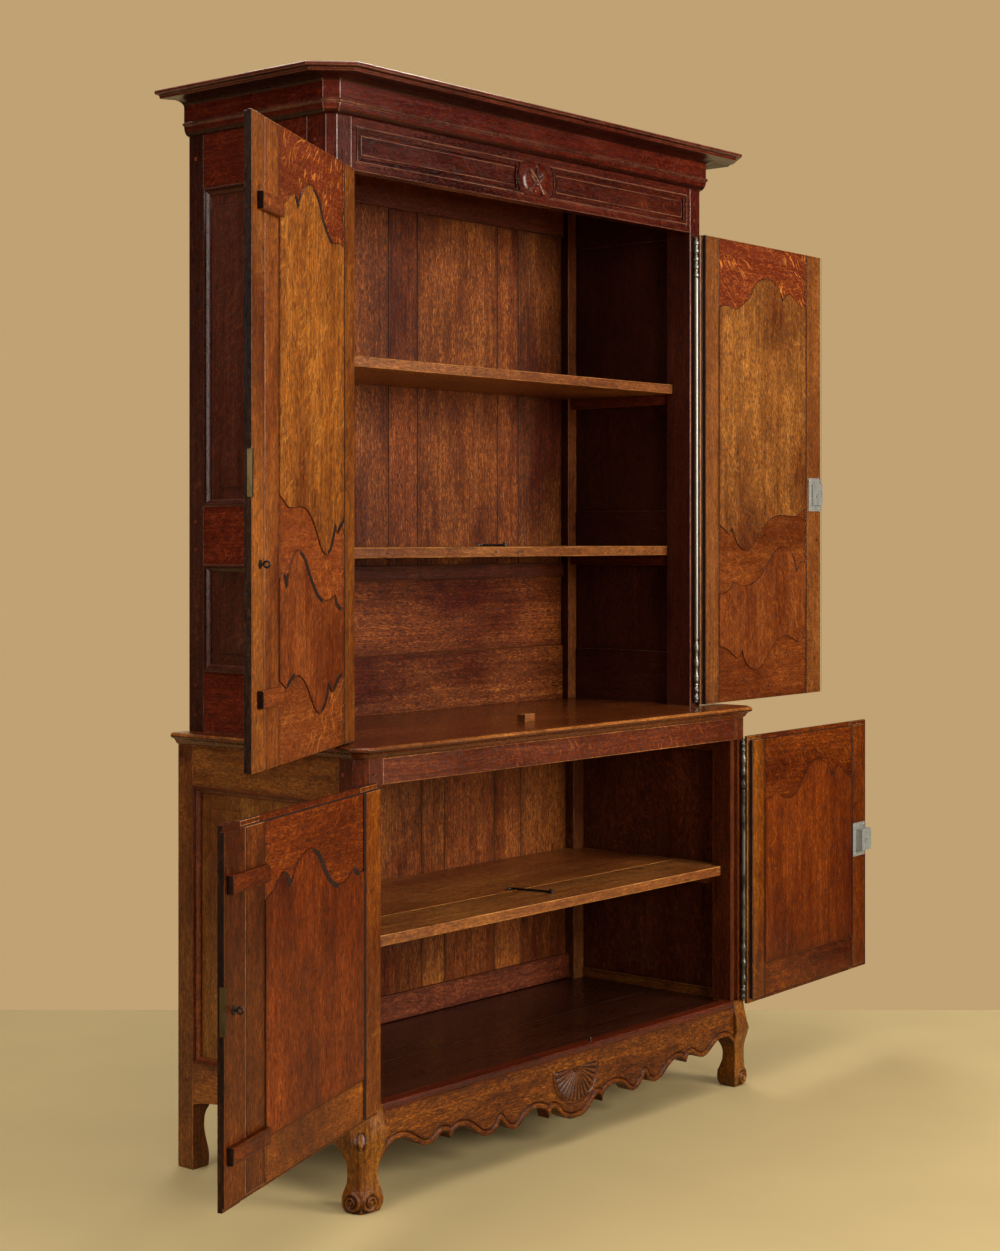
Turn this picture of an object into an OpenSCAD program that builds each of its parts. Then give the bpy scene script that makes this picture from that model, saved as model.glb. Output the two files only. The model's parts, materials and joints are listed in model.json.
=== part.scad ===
// Two-stage cupboard: a shelved upper stage with two tall doors stands on a
// deeper base with two short doors, all framed oak. The front corners are
// canted, the base stands on scroll-footed cabriole legs in front and on plain
// feet behind. All four doors hang on full-height rod hinges and are drawn open.
//
// Frame: origin on the floor, under the middle of the opened cupboard.
// +X runs along the front (to the right for someone facing it), +Y to the back,
// +Z up. Inside the modules y = 0 is the back plane and the front is at -depth.
// Millimetres.

/* [Overall] */
// Height of the worktop's upper face above the floor
worktop_z = 933; // [900:1:960]
// Overall height to the top of the cornice
total_h = 2300; // [2290:1:2320]
// Distance from the back plane to the frame's origin
back_y = 409; // [395:1:420]

/* [Base carcass] */
// Half the width of the base carcass
base_hw = 696; // [690:1:702]
// Depth of the base carcass
base_d = 541; // [530:1:560]
// Leg of the canted front corner of the base
base_cant = 23; // [16:1:26]
// Half the width of the base opening, between the front posts
base_open_hw = 631; // [626:1:634]
// Depth of a base front post, front to back
base_post_d = 62; // [55:1:68]
// Height of the upper edge of the apron and of the base opening's sill
sill_z = 212; // [208:1:216]
// Height of the lower edge of the base's front top rail
base_head_z = 853; // [848:1:858]

/* [Worktop] */
// How far the worktop stands out beyond the base carcass
worktop_over = 21; // [16:1:26]
// Thickness of the worktop with its edge moulding
worktop_t = 26; // [24:1:30]

/* [Upper carcass] */
// Half the width of the upper carcass
up_hw = 664; // [660:1:668]
// Depth of the upper carcass
up_d = 428; // [420:1:440]
// Leg of the canted front corner of the upper stage
up_cant = 16; // [12:1:20]
// Half the width of the upper opening, between the front posts
up_open_hw = 607; // [603:1:610]
// Depth of an upper front post, front to back
up_post_d = 70; // [62:1:74]
// Height of the lower edge of the frieze
frieze_z = 2105; // [2100:1:2110]
// How far the cornice stands out beyond the upper carcass
cornice_over = 99; // [85:1:110]

/* [Shelves] */
// Height of the upper face of the top shelf
shelf_a_z = 1731; // [1650:1:1850]
// Height of the upper face of the shelf below it
shelf_b_z = 1329; // [1300:1:1340]
// Height of the upper face of the base shelf
shelf_c_z = 541; // [500:1:600]
// Thickness of a shelf
shelf_t = 23; // [20:1:26]

/* [Doors] */
// How far the upper left door stands open, in degrees
open_ul = 152.7; // [140:0.1:178]
// How far the upper right door stands open, in degrees
open_ur = 181.7; // [150:0.1:184]
// How far the lower left door stands open, in degrees
open_ll = 159.8; // [140:0.1:178]
// How far the lower right door stands open, in degrees
open_lr = 183; // [150:0.1:184]
// Half the distance between the upper doors' hinge axes
up_axis = 621; // [619:1:623]
// Half the distance between the base doors' hinge axes
base_axis = 661; // [657:1:664]
// Where the upper doors meet, measured from the middle
up_meet = 35; // [30:1:40]
// Where the base doors meet, measured from the middle
base_meet = 40; // [34:1:44]
// Width of a door's hinge stile, from the axis
stile_w = 94; // [88:1:100]

/* [Hidden] */
$fn = 32;

C_OUT = [0.33, 0.13, 0.06];      // polished outside oak
C_RAIL = [0.42, 0.17, 0.07];     // red-brown rails
C_IN = [0.40, 0.20, 0.09];       // inside boards
C_PANEL = [0.55, 0.28, 0.10];    // orange-brown door panels
C_TOP = [0.62, 0.36, 0.15];      // worktop and shelf fronts
C_APRON = [0.58, 0.31, 0.11];
C_STEEL = [0.62, 0.60, 0.58];
C_IRON = [0.16, 0.14, 0.13];

board_t = 20;                     // back boards
post_back_d = 47;                 // depth of the back posts
axis_off = 8;                     // hinge axis in front of the carcass front
door_out = 2;                     // door's outer face in front of the axis
door_in = 17;                     // door's inner face behind the axis
lip_in = axis_off - 0.8;          // back of the lip that lies over a post
rebate_y = 7.6;                   // middle of the meeting rebate
lap = 12;                         // width of the meeting rebate
carcass_top = 2222;               // top of the upper posts and rails
wall_in = 24;                     // side wall's inner face, from the outside
pin_r = 3;
bore_r = 3.05;
barrel_r = 6.3;

// ---------------------------------------------------------------- helpers
module at0() { translate([0, back_y, 0]) children(); }
module box(a, b) { translate(a) cube([b[0]-a[0], b[1]-a[1], b[2]-a[2]]); }
module both() { children(); mirror([1, 0, 0]) children(); }

// Smooth curve through a list of points: n steps between neighbours
function cr(a, b, c, d, t) =
    0.5*((2*b) + (c - a)*t + (2*a - 5*b + 4*c - d)*t*t + (3*b - a - 3*c + d)*t*t*t);
function spline(p, n) = concat(
    [for (i = [0:len(p)-2], k = [0:n-1])
        cr(p[max(i-1, 0)], p[i], p[i+1], p[min(i+2, len(p)-1)], k/n)],
    [p[len(p)-1]]);
function rev(p) = [for (i = [len(p)-1:-1:0]) p[i]];
function flipx(p) = [for (q = p) [-q[0], q[1]]];
function tail(p) = [for (i = [1:len(p)-1]) p[i]];
// several curves end to end, with a sharp corner where two of them meet
function chain(list, n) = concat(spline(list[0], n),
    [for (j = [1:1:len(list)-1]) each tail(spline(list[j], n))]);

// outline in X and Z, extruded from y = a back to y = b
module plate_xz(p, a, b) {
    translate([0, b, 0]) rotate([90, 0, 0]) linear_extrude(b - a) polygon(p);
}
// outline in Y and Z, extruded from x = a to x = b
module plate_yz(p, a, b) {
    translate([a, 0, 0]) rotate([90, 0, 90]) linear_extrude(b - a) polygon(p);
}
// plan outline of a canted carcass grown by g
function plan(hw, d, c, g) = let (k = c + g*(2 - sqrt(2)), w = hw + g, e = d + g) [
    [-w, 0], [-w, -(e-k)], [-(w-k), -e], [w-k, -e], [w, -(e-k)], [w, 0]];

// A moulding run round the left side, front and right side of a carcass.
// prof is its section: [how far out, height]; mitred at every corner.
module moulding_run(hw, d, c, prof, big = 140, small = 40) {
    v = plan(hw, d, c, 0);
    o = plan(hw, d, c, big);
    i = plan(hw, d, c, -small/4);
    ang = [180, 225, 270, 315, 0];
    for (k = [0:4]) {
        mid = (v[k] + v[k+1])/2;
        // the wedge of plan that belongs to this length
        far_a = v[k] + (o[k] - v[k]);
        far_b = v[k+1] + (o[k+1] - v[k+1]);
        near_a = v[k] - (o[k] - v[k])*small/big;
        near_b = v[k+1] - (o[k+1] - v[k+1])*small/big;
        intersection() {
            translate([mid[0], mid[1], 0]) rotate([0, 0, ang[k]]) rotate([90, 0, 0])
                linear_extrude(1800, center = true) polygon(prof);
            translate([0, 0, -10]) linear_extrude(2600) polygon([far_a, far_b, near_b, near_a]);
        }
    }
}

// ---------------------------------------------------------------- base
// outline of a cabriole leg: how far it stands out beyond the post's face,
// and how far its inner line lies behind that face, both by height
leg_out = [[-2, 0], [2, 12], [3, 25], [1, 38], [-2, 55], [-3, 82], [-0.5, 105], [5, 125],
           [10, 145], [9, 165], [4, 185], [0.8, 198], [0, 206], [0, 212]];
leg_in_x = [[58, 0], [62, 10], [63, 24], [61, 38], [57, 52], [54, 66], [53.5, 82], [57, 95],
            [61, 103], [base_hw - base_open_hw, 109]];
leg_in_y = [[44, 0], [50, 8], [52, 22], [51, 36], [46, 50], [42, 64], [41, 82], [44, 100],
            [52, 118], [base_post_d, 128]];
// where the cant's own face runs out into the arris of the leg
leg_diag = [[20, 0], [20, 120], [15, 140], [9, 155], [5, 175], [1.8, 195], [0.5, 206], [0.5, 212]];
// the two faces beside that arris, by how far the arris stands out
leg_ridge = [[4.4, 0], [9.2, 12], [10.4, 25], [8, 38], [4.4, 55], [3.2, 82], [6.2, 105],
             [12.8, 125], [18.8, 145], [24, 165], [32, 185], [44, 212]];
// the post's rebate that takes the door's inner layer: along x and along y
post_rebate = [17, 10];

module front_post() {
    // the post above the leg
    difference() {
        translate([0, 0, sill_z]) linear_extrude(worktop_z - worktop_t - sill_z)
            polygon([[-base_hw, -base_d + base_post_d], [-base_hw, -(base_d - base_cant)],
                     [-(base_hw - base_cant), -base_d], [-base_open_hw, -base_d],
                     [-base_open_hw, -base_d + base_post_d]]);
        box([-base_open_hw - post_rebate[0], -base_d - 1, sill_z],
            [-base_open_hw + 1, -base_d + post_rebate[1], base_head_z]);
    }
    o = spline(leg_out, 2);
    dg = spline(leg_diag, 2);
    rg = spline(leg_ridge, 2);
    k = sill_z/212;
    fx = concat([for (q = o) [-base_hw - q[0], q[1]*k]], [[-base_open_hw, sill_z]],
                rev([for (q = spline(leg_in_x, 2)) [-base_hw + q[0], q[1]]]));
    fy = concat([for (q = o) [-base_d - q[0], q[1]*k]], [[-base_d + base_post_d, sill_z]],
                rev([for (q = spline(leg_in_y, 2)) [-base_d + q[0], q[1]]]));
    // a cut whose face looks along `a`, through the middle of the cant
    mid = [-(base_hw - base_cant/2), -(base_d - base_cant/2)];
    intersection() {
        plate_xz(fx, -base_d - 40, -base_d + base_post_d + 40);
        plate_yz(fy, -base_hw - 40, -base_open_hw + 40);
        leg_cut(mid, 225, concat([for (q = dg) [q[0], q[1]*k]], [[-200, sill_z], [-200, 0]]));
        leg_cut(mid, 202.5, concat([for (q = rg) [q[0]*cos(22.5), q[1]*k]], [[-200, sill_z], [-200, 0]]));
        leg_cut(mid, 247.5, concat([for (q = rg) [q[0]*cos(22.5), q[1]*k]], [[-200, sill_z], [-200, 0]]));
    }
}
module leg_cut(m, a, p) {
    translate([m[0], m[1], 0]) rotate([0, 0, a]) translate([0, 400, 0]) rotate([90, 0, 0]) linear_extrude(800) polygon(p);
}
module base_front_posts() { color(C_OUT) at0() both() front_post(); }

module base_back_posts() {
    color(C_OUT) at0() both() {
        xi = -base_open_hw + 3;
        box([-base_hw, -post_back_d, 146], [xi, 0, worktop_z - worktop_t]);
        // plain foot, hollowed a little on its inner face
        p = concat([[-base_hw, 146], [-base_hw, 0]],
            spline([[-650, 0], [-648, 28], [-657, 62], [-662, 92], [-656, 120], [xi, 146]], 3));
        plate_xz(p, -post_back_d, 0);
    }
}

module base_side_rails() {
    ya = -base_d + base_post_d;
    yb = -post_back_d;
    // lower edge of the bottom rail, between the two feet
    low = chain([[[ya, 127], [ya+26, 138], [ya+60, 150], [ya+92, 152], [ya+112, 145]],
                 [[ya+112, 145], [ya+128, 152], [(ya+yb)/2, 156], [yb-128, 152], [yb-112, 145]],
                 [[yb-112, 145], [yb-92, 152], [yb-60, 150], [yb-26, 146], [yb, 140]]], 3);
    color(C_OUT) at0() both() {
        box([-base_hw, ya, 820], [-base_hw + 30, yb, worktop_z - worktop_t]);
        plate_yz(concat(low, [[yb, 228], [ya, 228]]), -base_hw, -base_hw + 30);
    }
}

module base_side_panels() {
    ya = -base_d + base_post_d;
    yb = -post_back_d;
    color(C_OUT) at0() both() {
        box([-base_hw + 14, ya, 228], [-base_hw + 28, yb, 820]);
        // raised field on the outside
        box([-base_hw + 8, ya + 46, 274], [-base_hw + 14, yb - 46, 774]);
    }
}

module base_front_rail() {
    color(C_RAIL) at0()
        box([-base_open_hw, -base_d, base_head_z], [base_open_hw, -base_d + 30, worktop_z - worktop_t]);
}

// half of the apron's lower edge, from the middle outwards
apron_half = [
    [[0, 57], [26, 59], [50, 71], [70, 89], [86, 93], [97, 74]],
    [[97, 74], [104, 92], [122, 101], [150, 105], [180, 95], [198, 81], [216, 75], [238, 82], [263, 106]],
    [[263, 106], [272, 92], [288, 82], [308, 80], [330, 87], [352, 103], [376, 115], [404, 117], [428, 101]],
    [[428, 101], [436, 115], [452, 118], [474, 107], [496, 101], [520, 107], [540, 119], [562, 130], [588, 133], [612, 126], [base_open_hw, 109]]];
function apron_edge() = let (h = chain(apron_half, 3)) concat(flipx(rev(h)), tail(h));

module base_apron() {
    color(C_APRON) at0()
        difference() {
            plate_xz(concat(apron_edge(), [[base_open_hw, sill_z], [-base_open_hw, sill_z]]),
                     -base_d, -base_d + 30);
            // shadow line under the sill strip
            box([-base_open_hw - 1, -base_d - 1, 196], [base_open_hw + 1, -base_d + 2, 199]);
        }
}

module base_shell_carving() {
    r = 80;
    zc = 170;
    n = 9;
    color(C_APRON) at0() {
        // half disc with a stepped rim, boss and ribs like a fan
        plate_xz(concat([for (a = [0:9:180]) [r*cos(a), zc - r*sin(a)]]), -base_d - 3, -base_d);
        for (k = [0:n-1]) {
            a = (k + 0.5)*180/n;
            w = 180/n*0.36;
            plate_xz([[14*cos(a-w), zc - 14*sin(a-w)], [14*cos(a+w), zc - 14*sin(a+w)],
                      [(r-5)*cos(a+w), zc - (r-5)*sin(a+w)], [(r-1)*cos(a), zc - (r-1)*sin(a)],
                      [(r-5)*cos(a-w), zc - (r-5)*sin(a-w)]], -base_d - 6, -base_d - 3);
        }
        plate_xz([for (a = [0:15:180]) [12*cos(a), zc - 12*sin(a)]], -base_d - 8, -base_d - 3);
    }
}

module base_back_rails() {
    xi = base_open_hw - 3;
    color(C_IN) at0() {
        box([-xi, -32, sill_z - 6], [xi, -board_t, 268]);
        box([-xi, -32, 862], [xi, -board_t, worktop_z - worktop_t]);
    }
}

module base_back_boards() {
    xi = base_open_hw - 3;
    e = [-xi, -352, -120, 67, 151, 339, 444, xi];
    color(C_IN) at0() for (k = [0:len(e)-2])
        box([e[k] + (k == 0 ? 0 : 1), -board_t, 160], [e[k+1] - (k == len(e)-2 ? 0 : 1), -4, worktop_z - worktop_t]);
}

module base_floor_boards() {
    yf = -base_d + 30;
    xa = base_hw - 30;
    xi = base_open_hw - 3;
    pa = -base_d + base_post_d;
    color(C_IN) at0() {
        // front board notched round the front posts, back board round the back ones
        translate([0, 0, 184]) linear_extrude(20) polygon([[-base_open_hw, yf], [base_open_hw, yf],
            [base_open_hw, pa], [xa, pa], [xa, -281], [-xa, -281], [-xa, pa], [-base_open_hw, pa]]);
        translate([0, 0, 184]) linear_extrude(20) polygon([[-xa, -279], [xa, -279], [xa, -post_back_d],
            [xi, -post_back_d], [xi, -board_t], [-xi, -board_t], [-xi, -post_back_d], [-xa, -post_back_d]]);
    }
}

// a shelf board with its corners notched round the posts
module shelf_board(hw, hn, y0, y1, nf, nb, z) {
    translate([0, 0, z - shelf_t]) linear_extrude(shelf_t) polygon(concat(
        nf < y0 ? [[-hw, y0], [hw, y0]] : [[-hn, y0], [hn, y0], [hn, nf], [hw, nf]],
        nb > y1 ? [[hw, y1], [-hw, y1]] : [[hw, nb], [hn - 4, nb], [hn - 4, y1], [-(hn - 4), y1], [-(hn - 4), nb], [-hw, nb]],
        nf < y0 ? [] : [[-hw, nf], [-hn, nf]]));
}

module base_shelf() {
    hw = base_hw - 29;
    color(C_TOP) at0() {
        shelf_board(hw, base_open_hw - 1, -504, -352, -base_d + base_post_d + 1, 0, shelf_c_z);
        shelf_board(hw, base_open_hw, -350, -board_t - 1, -600, -post_back_d - 1, shelf_c_z);
    }
}

module base_shelf_bearers() {
    color(C_IN) at0() both()
        box([-base_hw + 28, -base_d + base_post_d, shelf_c_z - shelf_t - 27],
            [-base_hw + 52, -post_back_d, shelf_c_z - shelf_t]);
}

module worktop() {
    zt = worktop_z;
    zb = worktop_z - worktop_t;
    // rounded nosing over a shadow groove and a small under-mould
    prof = concat(
        [[-20, zt], [worktop_over - 7, zt]],
        [for (a = [75:-25:-75]) [worktop_over - 6 + 6*cos(a), zt - 6.2 + 6*sin(a)]],
        [[worktop_over - 9, zb + 13], [worktop_over - 10, zb + 11], [8, zb + 9], [6, zb + 5], [2, zb + 1], [0, zb], [-20, zb]]);
    color(C_TOP) at0() union() {
        moulding_run(base_hw, base_d, base_cant, prof, 60, 20);
        translate([0, 0, zb]) linear_extrude(worktop_t) polygon(plan(base_hw, base_d, base_cant, -19));
    }
}

// ---------------------------------------------------------------- upper stage
module upper_front_posts() {
    color(C_OUT) at0() both() translate([0, 0, worktop_z]) linear_extrude(carcass_top - worktop_z)
        polygon([[-up_hw, -up_d + up_post_d], [-up_hw, -(up_d - up_cant)],
                 [-(up_hw - up_cant), -up_d], [-up_open_hw, -up_d], [-up_open_hw, -up_d + up_post_d]]);
}
module upper_back_posts() {
    color(C_OUT) at0() both()
        box([-up_hw, -post_back_d + 2, worktop_z], [-up_open_hw, 0, carcass_top]);
}
up_rails = [[worktop_z, 1064], [1291, 1418], [2098, carcass_top]];
module upper_side_rails() {
    color(C_OUT) at0() both() for (r = up_rails)
        box([-up_hw, -up_d + up_post_d, r[0]], [-up_hw + 27, -post_back_d + 2, r[1]]);
}
module upper_side_panels() {
    ya = -up_d + up_post_d;
    yb = -post_back_d + 2;
    color(C_OUT) at0() both() for (z = [[up_rails[0][1], up_rails[1][0]], [up_rails[1][1], up_rails[2][0]]]) {
        box([-up_hw + 11, ya, z[0]], [-up_hw + wall_in, yb, z[1]]);
        box([-up_hw + 6, ya + 40, z[0] + 40], [-up_hw + 11, yb - 40, z[1] - 40]);
    }
}

// the two frieze panels: straight outer end, inner end curved round the medallion
med_x = 55;
med_z = 45;
fz = (frieze_z + carcass_top)/2 - 4;
function frieze_outline(g) = let (r = 62 + g, h = 36 - g) concat(
    [[-590 + g, fz - h], [-590 + g, fz + h]],
    [for (k = [-6:6]) let (z = -k/6*h) [-sqrt(r*r - z*z), fz + z]]);
module frieze_rail() {
    color(C_RAIL) at0() difference() {
        box([-up_open_hw, -up_d, frieze_z], [up_open_hw, -up_d + 30, carcass_top]);
        both() plate_xz(frieze_outline(0), -up_d - 1, -up_d + 6);
    }
}
module frieze_mouldings() {
    color(C_RAIL) at0() both() {
        difference() {
            plate_xz(frieze_outline(0), -up_d - 2.5, -up_d + 6);
            plate_xz(frieze_outline(5), -up_d - 4, -up_d + 7);
        }
        difference() {
            plate_xz(frieze_outline(5), -up_d + 1, -up_d + 6);
            plate_xz(frieze_outline(10), -up_d - 4, -up_d + 7);
        }
        // field of the panel
        plate_xz(frieze_outline(16), -up_d + 2.5, -up_d + 6);
    }
}
function ring(rx, rz, n) = [for (k = [0:n-1]) [rx*cos(360*k/n), fz + rz*sin(360*k/n)]];
module frieze_medallion() {
    color(C_RAIL) at0() {
        plate_xz(ring(med_x, med_z, 40), -up_d - 3, -up_d);
        difference() {
            plate_xz(ring(med_x, med_z, 40), -up_d - 6, -up_d - 3);
            plate_xz(ring(med_x - 5, med_z - 5, 40), -up_d - 7, -up_d - 2);
        }
        // four leaves crossed under a bud
        for (a = [38, 142, 218, 322])
            plate_xz([for (q = spline([[8, 0], [18, 7], [32, 8], [43, 0], [32, -8], [18, -7], [8, 0]], 2))
                [q[0]*cos(a) - q[1]*sin(a), fz + 0.85*(q[0]*sin(a) + q[1]*cos(a))]], -up_d - 6, -up_d - 3);
        plate_xz(ring(9, 12, 20), -up_d - 8, -up_d - 3);
    }
}

module upper_back_rails() {
    color(C_IN) at0() {
        box([-up_open_hw, -30, 2130], [up_open_hw, -4, carcass_top]);
        box([-up_open_hw, -30, 1250], [up_open_hw, -4, 1283]);
    }
}
module upper_back_boards() {
    e = [-up_open_hw, -350, -53, 49, 349, 432, up_open_hw];
    color(C_IN) at0() {
        for (k = [0:len(e)-2])
            box([e[k] + (k == 0 ? 0 : 1), -22, 1283], [e[k+1] - (k == len(e)-2 ? 0 : 1), -6, 2130]);
        box([-up_open_hw, -22, 1073], [up_open_hw, -6, 1250]);
        box([-up_open_hw, -27, worktop_z], [up_open_hw, -6, 1071]);
    }
}
module upper_top_board() {
    color(C_IN) at0() {
        for (k = [0:3])
            translate([0, 0, carcass_top]) linear_extrude(18) polygon([
                [-640 + k*320 + 1, -up_d + 6], [-640 + (k+1)*320 - 1, -up_d + 6],
                [-640 + (k+1)*320 - 1, -2], [-640 + k*320 + 1, -2]]);
    }
}
module upper_shelf_high() {
    color(C_TOP) at0()
        shelf_board(up_hw - wall_in - 1, up_open_hw - 1, -376, -31, -up_d + up_post_d + 1, -post_back_d + 1, shelf_a_z);
}
module upper_shelf_low() {
    color(C_TOP) at0()
        shelf_board(up_hw - 28, up_open_hw, -357, -31, -600, -post_back_d + 1, shelf_b_z);
}
module upper_shelf_bearers() {
    color(C_IN) at0() both() for (z = [shelf_a_z, shelf_b_z])
        box([-up_hw + 27, -up_d + up_post_d, z - shelf_t - 26], [-up_hw + 48, -post_back_d + 2, z - shelf_t]);
}

module cornice() {
    o = cornice_over;
    t = total_h;
    // bed mould and bead, a flat band, a small cove, the soffit and a thin fascia
    prof = concat(
        [[0, t - 86], [5, t - 85], [9.5, t - 82], [12.5, t - 77.5], [14.5, t - 72], [15.2, t - 65],
         [18.6, t - 64], [20, t - 61], [18.6, t - 58], [15.2, t - 57], [15.2, t - 24]],
        [for (a = [15:15:90]) [15.2 + 26*(1 - cos(a)), t - 24 + 12*sin(a)]],
        [[o - 19, t - 15.5], [o - 15, t - 15.5], [o - 13.5, t - 12], [o - 13, t - 9.5], [o - 2, t - 8.5],
         [o, t - 7], [o, t - 2], [o - 1.5, t], [-14, t], [-14, carcass_top + 18], [0, carcass_top + 18]]);
    color(C_OUT) at0() moulding_run(up_hw, up_d, up_cant, prof, 140, 30);
}

module door_stop_block() {
    color(C_TOP) at0() box([-18, -410, worktop_z], [18, -386, worktop_z + 17]);
}

// peg ends that show over the tenons
module tenon_pegs() {
    r = 4.2;
    color(C_IN) at0() both() {
        translate([-656, -base_d, 876]) rotate([90, 0, 0]) cylinder(h = 1.6, r = r);
        for (z = [2178, 2136]) translate([-622, -up_d, z]) rotate([90, 0, 0]) cylinder(h = 1.6, r = r);
        for (q = [[-492, 875], [-492, 220], [-24, 875], [-24, 190]]) translate([-base_hw, q[0], q[1]]) rotate([0, -90, 0]) cylinder(h = 1.6, r = r);
        for (y = [-382, -22], z = [2165, 1384, 1324, 1032, 968]) translate([-up_hw, y, z]) rotate([0, -90, 0]) cylinder(h = 1.6, r = r);
    }
}

// ---------------------------------------------------------------- hinges
// turned silhouette of a knuckle from height a to height b: rings and reels
function turned(a, b, n) = concat([[barrel_r, a]],
    [for (k = [0:n-1], q = [[0.1, 5.4], [0.3, 7.4], [0.55, 7.4], [0.75, 5.4], [0.9, 5]]) [q[1], a + (b - a)*(k + q[0])/n]],
    [[barrel_r, b]]);
// frame side: a long pin with a turned knuckle below and above the barrel
module pin_set(z0, z1, za, zb, d) {
    cylinder_pin = zb - za;
    translate([0, 0, za - 1]) cylinder(h = cylinder_pin + 2, r = pin_r);
    translate([0, 0, 0]) rotate_extrude() polygon(concat([[0, z0 - 4], [3.5, z0 - 3]], turned(z0, za - 0.4, 2), [[0, za - 0.4]]));
    rotate_extrude() polygon(concat([[0, zb + 0.4]], turned(zb + 0.4, z1, 2), [[3.5, z1 + 4], [0, z1 + 6]]));
    for (z = [z0 + 6, zb + 10]) translate([-2, 2, z]) cube([4, axis_off - 2, 16]);
}
// door side: the long barrel, bored for the pin, with plates into the door's edge
module barrel(za, zb, ea, eb) {
    rotate_extrude() polygon(concat([[bore_r, za]], turned(za, ea, 3),
        turned(eb, zb, 3), [[bore_r, zb]]));
    for (k = [0:3]) translate([3.9, -1.2, ea + 12 + k*(eb - ea - 74)/3]) cube([4.1, 2.4, 50]);
}
up_pin = [943, 2091, 984, 2052, 1098, 1992];
lo_pin = [214, 850, 246, 820, 360, 726];
module hinge_pins() {
    color(C_STEEL) at0() both() {
        translate([-up_axis, -up_d - axis_off, 0]) pin_set(up_pin[0], up_pin[1], up_pin[2], up_pin[3]);
        translate([-base_axis, -base_d - axis_off, 0]) pin_set(lo_pin[0], lo_pin[1], lo_pin[2], lo_pin[3]);
    }
}

// ---------------------------------------------------------------- doors
// Local door frame: x runs from the hinge axis to the free edge, y = 0 on the
// axis and positive towards the cupboard, z is the true height.
module left_door(axis, d, a) {
    at0() translate([-axis, -d - axis_off, 0]) rotate([0, 0, -a]) children();
}
module right_door(axis, d, a) {
    at0() translate([axis, -d - axis_off, 0]) rotate([0, 0, a]) mirror([1, 0, 0]) children();
}

up_z = [936, 2101];      // upper door, same for both layers
lo_z = [202, 861];       // lower door, outer layer
lo_zi = [214, 851];      // lower door, inner layer
up_tongue = 16;          // where the layer inside the opening starts
lo_tongue = 15;

// hinge stile: a lip over the post and a thicker tongue in the opening
module hinge_stile(tongue, z, zi, w = stile_w) {
    union() {
        box([8, -door_out, z[0]], [w, lip_in, z[1]]);
        box([tongue, lip_in, zi[0]], [w, door_in, zi[1]]);
    }
}
module plain_stile(s0, s1, z, zi) {
    union() {
        box([s0, -door_out, z[0]], [s1, lip_in, z[1]]);
        box([s0, lip_in, zi[0]], [s1, door_in, zi[1]]);
    }
}
// right leaf's meeting stile: its outer layer laps over the left leaf
module lapping_stile(s0, s1, z, zi, l = lap) {
    union() {
        box([s0, -door_out, z[0]], [s1 + l, lip_in, z[1]]);
        box([s0, lip_in, zi[0]], [s1, door_in, zi[1]]);
    }
}
// left leaf's false post: its inner layer runs on under the right leaf
module false_post(s0, s1, z, zi) {
    union() {
        box([s0, -door_out, z[0]], [s1 - lap, lip_in, z[1]]);
        box([s0, lip_in, zi[0]], [s1 - lap, rebate_y + 0.4, zi[1]]);
        box([s0, rebate_y + 0.4, zi[0]], [s1, door_in, zi[1]]);
        // two beads down the outside
        box([s0 + 8, -door_out - 2, z[0] + 40], [s0 + 16, -door_out, z[1] - 40]);
        box([s1 - lap - 16, -door_out - 2, z[0] + 40], [s1 - lap - 8, -door_out, z[1] - 40]);
    }
}

// shaped edges of the upper doors' rails: part of the panel's width, and height
top_edge = [
    [[0, -173], [0.094, -167], [0.176, -173], [0.25, -161], [0.341, -136], [0.393, -106],
     [0.48, -86], [0.57, -82], [0.647, -96], [0.70, -118], [0.722, -132]],
    [[0.722, -132], [0.75, -119], [0.80, -113], [0.88, -129], [0.95, -141], [1, -146]]];
mid_top = [
    [[0, 63], [0.06, 50], [0.115, 38], [0.14, 54]],
    [[0.14, 54], [0.17, 30], [0.228, 4], [0.30, -3], [0.37, 8], [0.435, 34], [0.506, 62],
     [0.59, 81], [0.68, 88], [0.79, 86], [0.88, 87], [0.94, 98], [1, 108]]];
mid_low = [
    [[0, -112], [0.06, -109], [0.118, -99], [0.15, -82]],
    [[0.15, -82], [0.22, -90], [0.306, -92], [0.388, -85], [0.464, -68], [0.54, -42],
     [0.605, -14], [0.68, 3], [0.753, 6], [0.82, -8], [0.866, -35], [0.887, -58]],
    [[0.887, -58], [0.918, -40], [0.955, -33], [1, -43]]];
low_top = [
    [[0, 28], [0.07, 22], [0.14, 7], [0.20, -4], [0.25, 14]],
    [[0.25, 14], [0.29, -17], [0.36, -35], [0.416, -38], [0.48, -26], [0.54, -4], [0.60, 20],
     [0.67, 36], [0.753, 44], [0.835, 35], [0.90, 24], [0.953, 32], [1, 40]]];
base_edge = [
    [[0, -161], [0.07, -159], [0.125, -146]],
    [[0.125, -146], [0.19, -163], [0.265, -169], [0.33, -162], [0.386, -146], [0.43, -125],
     [0.475, -102], [0.53, -87], [0.585, -83], [0.64, -88], [0.70, -102], [0.74, -120], [0.76, -134]],
    [[0.76, -134], [0.79, -117], [0.835, -110], [0.888, -123], [0.944, -140], [1, -149]]];
mid_z = 1320;
low_z = 1050;
base_rail_z = 294;
function edge(c, s0, s1, z) = [for (q = chain(c, 3)) [s0 + q[0]*(s1 - s0), z + q[1]]];

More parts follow.
